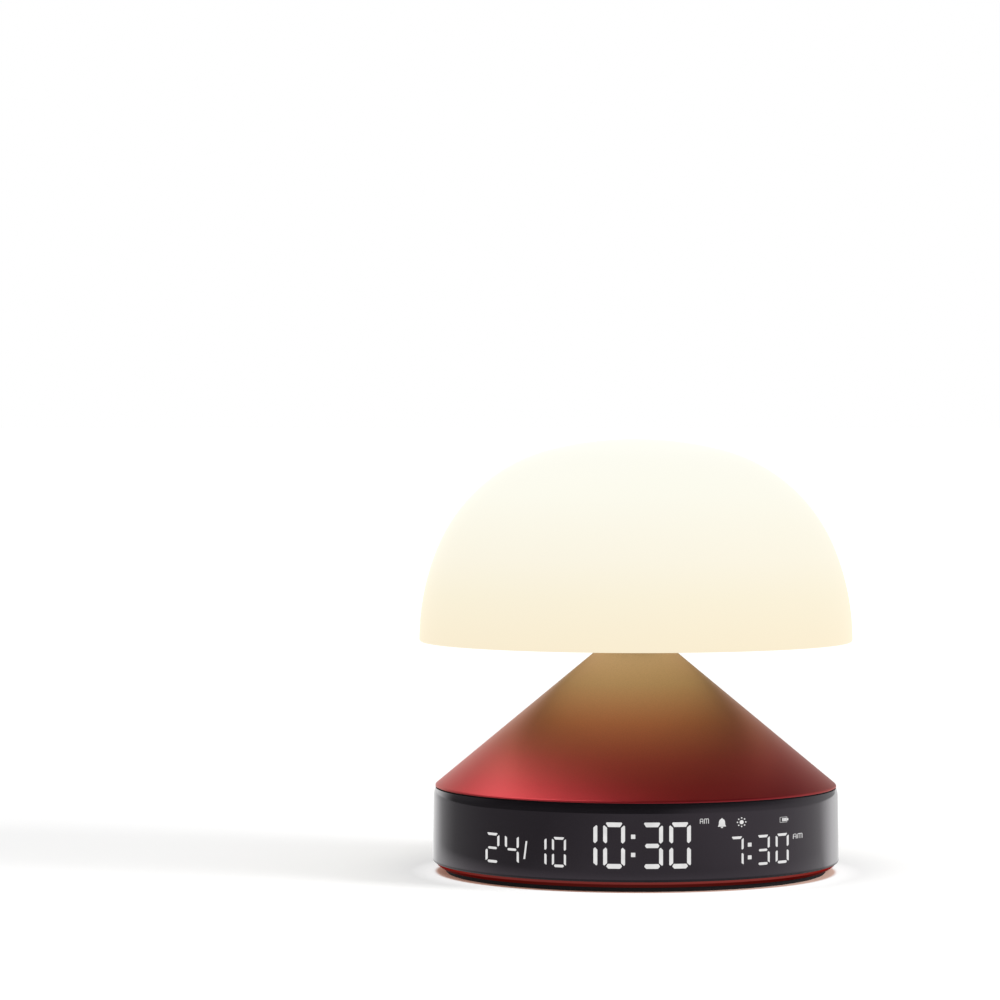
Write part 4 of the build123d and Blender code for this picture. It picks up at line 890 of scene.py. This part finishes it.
# %% Signs on the buttons
OFF_THE_BUTTON = 0.01 * MM
MINUS = (0, 0, 2.0, 0.4, 0.05)  # x, z, width, height and rounding
plus = [oblong(*MINUS), oblong(0, 0.6, 0.4, 0.78, 0.05), oblong(0, -0.6, 0.4, 0.78, 0.05)]
ring = inset(disc(0, 0, 1.15, corners=32), 0.22, "rim")
hands = [oblong(0, 0.27, 0.2, 0.74, 0.03), oblong(-0.36, 0, 0.46, 0.2, 0.03)]
speaker = grown(((-0.95, 0.42), (-0.35, 0.42), (0.45, 1.1), (0.62, 1.1)))
speaker.rotation_euler.y = -pi / 2
settle(speaker)
sound_wave = oblong(-0.95, 0, 0.2, 0.7, 0.05)
SIGNS = {
    "alarm_button": [copy_of(bell, 0, -0.1, 0.95, 0.95)],
    "down_button": [oblong(*MINUS)],
    "set_button": [ring] + hands,
    "up_button": plus,
    "sound_button": [speaker, sound_wave],
}
remove([bell])

pad_print, tree, shader, place = new_material("white_pad_print")
grain = add(tree, NOISE, {"Scale": 1 / (0.65 * MM), "Detail": 2.0}, {"Vector": place})
ink = add(tree, MIX, {"colours": (linear("#d8d6d0"), linear("#e4e2dd"))}, {0: grain})
fill(shader, {"Roughness": 0.55}, {"Base Color": ink})
for button, pieces in SIGNS.items():
    low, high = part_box(button)
    sign = join(pieces, button + "_sign")
    sign.rotation_euler = (0, 0, pi)
    sign.location = ((low.x + high.x) / 2, high.y + FRONT + OFF_THE_BUTTON, (low.z + high.z) / 2)
    settle(sign)
    film(sign)
    cover(sign, pad_print)
    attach(sign, button)
    print(sign.name, "on", button, "at y", round(high.y / MM, 2))

# %% [markdown]
# The head's return spring is wound from round steel wire. A coil is a round section carried up and round
# at once, which is what a Screw modifier does. The real spring shortens when the head is pressed; this one
# takes the CAD spring's place at that spring's length.

# %% Return spring
WIRE = 0.9 * MM
WIRE_CORNERS = 12
TURNS = 3
TURN_STEPS = 40
low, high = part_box("head_return_spring")
bpy.ops.mesh.primitive_circle_add(
    vertices=WIRE_CORNERS,
    radius=WIRE / 2,
    location=(high.x - WIRE / 2, 0, low.z + WIRE / 2),
    rotation=(pi / 2, 0, 0),
)
spring = settle(bpy.context.object)
spring.name = "return_spring"
coil = spring.modifiers.new("coil", "SCREW")
coil.screw_offset = (high.z - low.z - WIRE) / TURNS
coil.iterations = TURNS
coil.steps = coil.render_steps = TURN_STEPS
coil.use_normal_calculate = False
bpy.ops.object.modifier_apply(modifier="coil")
bpy.ops.object.mode_set(mode="EDIT")
bpy.ops.mesh.select_all(action="SELECT")
bpy.ops.mesh.fill_holes(sides=0)
bpy.ops.object.mode_set(mode="OBJECT")
face_outwards(spring)
bpy.ops.object.shade_smooth_by_angle(angle=radians(40))
cover(spring, finishes["drawn_spring_steel"])
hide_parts("head_return_spring")
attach(spring, "base")
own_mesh(spring)

# %% [markdown]
# Four pan-head screws hold the bottom cover. A screw is a shape of revolution, so its half profile is
# drawn as a chain of edges from one point and spun round its axis: head, neck, and grooves for the thread.
# The driver's recess is a cross with tapered walls, cut by a Boolean modifier, and the other three screws
# are copies.

# %% Screw blank
CORE, CREST = 0.76, 0.98  # the thread's radii in mm; the profile's corners are radii and heights
PITCH = 0.65
THREADS = 9
SPIN_STEPS = 28
profile = [(0, 0), (1.5, 0), (1.95, 0.1), (2.18, 0.32), (2.18, 0.74), (CREST, 0.74), (CREST, 1.2)]
for turn in range(THREADS):
    profile += [(CORE, 1.45 + PITCH * turn), (CREST, 1.75 + PITCH * turn)]
profile += [(0.6, 7.6), (0.35, 7.9), (0, 7.9)]

bpy.ops.mesh.primitive_plane_add(size=1.0 * MM, location=(0, 0, 0))
screw = bpy.context.object
bpy.ops.object.mode_set(mode="EDIT")
bpy.ops.mesh.select_mode(type="VERT")
bpy.ops.mesh.select_all(action="SELECT")
bpy.ops.mesh.merge(type="CENTER")
for (radius, height_up), (next_radius, next_height) in zip(profile, profile[1:]):
    step = ((next_radius - radius) * MM, 0, (next_height - height_up) * MM)
    bpy.ops.mesh.extrude_region_move(TRANSFORM_OT_translate={"value": step})
bpy.ops.mesh.select_all(action="SELECT")
bpy.ops.mesh.spin(steps=SPIN_STEPS, angle=2 * pi, center=(0, 0, 0), axis=(0, 0, 1))
bpy.ops.mesh.select_all(action="SELECT")
bpy.ops.mesh.remove_doubles(threshold=TINY)
bpy.ops.object.mode_set(mode="OBJECT")
face_outwards(screw)
print("screw blank faces", len(screw.data.polygons))

# %% [markdown]
# The cross starts as a grid of nine squares just outside the head. Its inner corners move in to the width
# of the arms, its four corner squares go, and the rest is extruded into the head and narrowed there.

# %% Driver recess
RECESS = 2.6  # mm across both arms
HALF_SQUARE = 0.433  # half the width of one of the nine squares
ARM = 0.28  # half an arm's width
OUTSIDE = 0.1  # how far outside the head the cutter starts
RECESS_DEPTH = 0.62
NARROWED = 0.6
bpy.ops.mesh.primitive_grid_add(
    x_subdivisions=3,
    y_subdivisions=3,
    size=RECESS * MM,
    location=(0, 0, -OUTSIDE * MM),
)
cutter = bpy.context.object
for corner in cutter.data.vertices:
    for axis in (0, 1):
        if abs(corner.co[axis]) < RECESS / 4 * MM:
            corner.co[axis] *= ARM / HALF_SQUARE
bpy.ops.object.mode_set(mode="EDIT")
bpy.ops.mesh.select_mode(type="FACE")
bpy.ops.mesh.select_all(action="DESELECT")
bpy.ops.object.mode_set(mode="OBJECT")
for face in cutter.data.polygons:
    face.select = min(abs(face.center.x), abs(face.center.y)) > ARM * MM
bpy.ops.object.mode_set(mode="EDIT")
bpy.ops.mesh.delete(type="FACE")
bpy.ops.mesh.select_all(action="SELECT")
bpy.ops.mesh.extrude_region_move(TRANSFORM_OT_translate={"value": (0, 0, (OUTSIDE + RECESS_DEPTH) * MM)})
bpy.ops.transform.resize(value=(NARROWED, NARROWED, 1), center_override=(0, 0, RECESS_DEPTH * MM))
bpy.ops.object.mode_set(mode="OBJECT")
face_outwards(cutter)
settle(cutter)
pick(screw)
recess = screw.modifiers.new("recess", "BOOLEAN")
recess.operation = "DIFFERENCE"
recess.object = cutter
bpy.ops.object.modifier_apply(modifier="recess")
remove([cutter])
print("screw faces with its recess", len(screw.data.polygons))

# %% [markdown]
# The screws stand in the cover's four recesses, and no two have stopped at the same turn.

# %% Screws in place
SCREW_CIRCLE = 44.5 * MM
SCREW_ANGLES = (-120, -60, 30, 150)  # degrees
HEAD_Z = 1.36 * MM
screws = []
for i, angle in enumerate(SCREW_ANGLES):
    copy = copy_of(screw)
    copy.rotation_euler.z = radians(17 + 50 * i)
    copy.location = (SCREW_CIRCLE * cos(radians(angle)), SCREW_CIRCLE * sin(radians(angle)), HEAD_Z)
    screws.append(settle(copy))
remove([screw])
cover_screws = join(screws, "cover_screws")
bpy.ops.object.shade_smooth_by_angle(angle=radians(35))
cover(cover_screws, finishes["zinc_plated_steel"])
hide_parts("bottom_screws")
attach(cover_screws, "base")
print("cover screws faces", len(cover_screws.data.polygons))
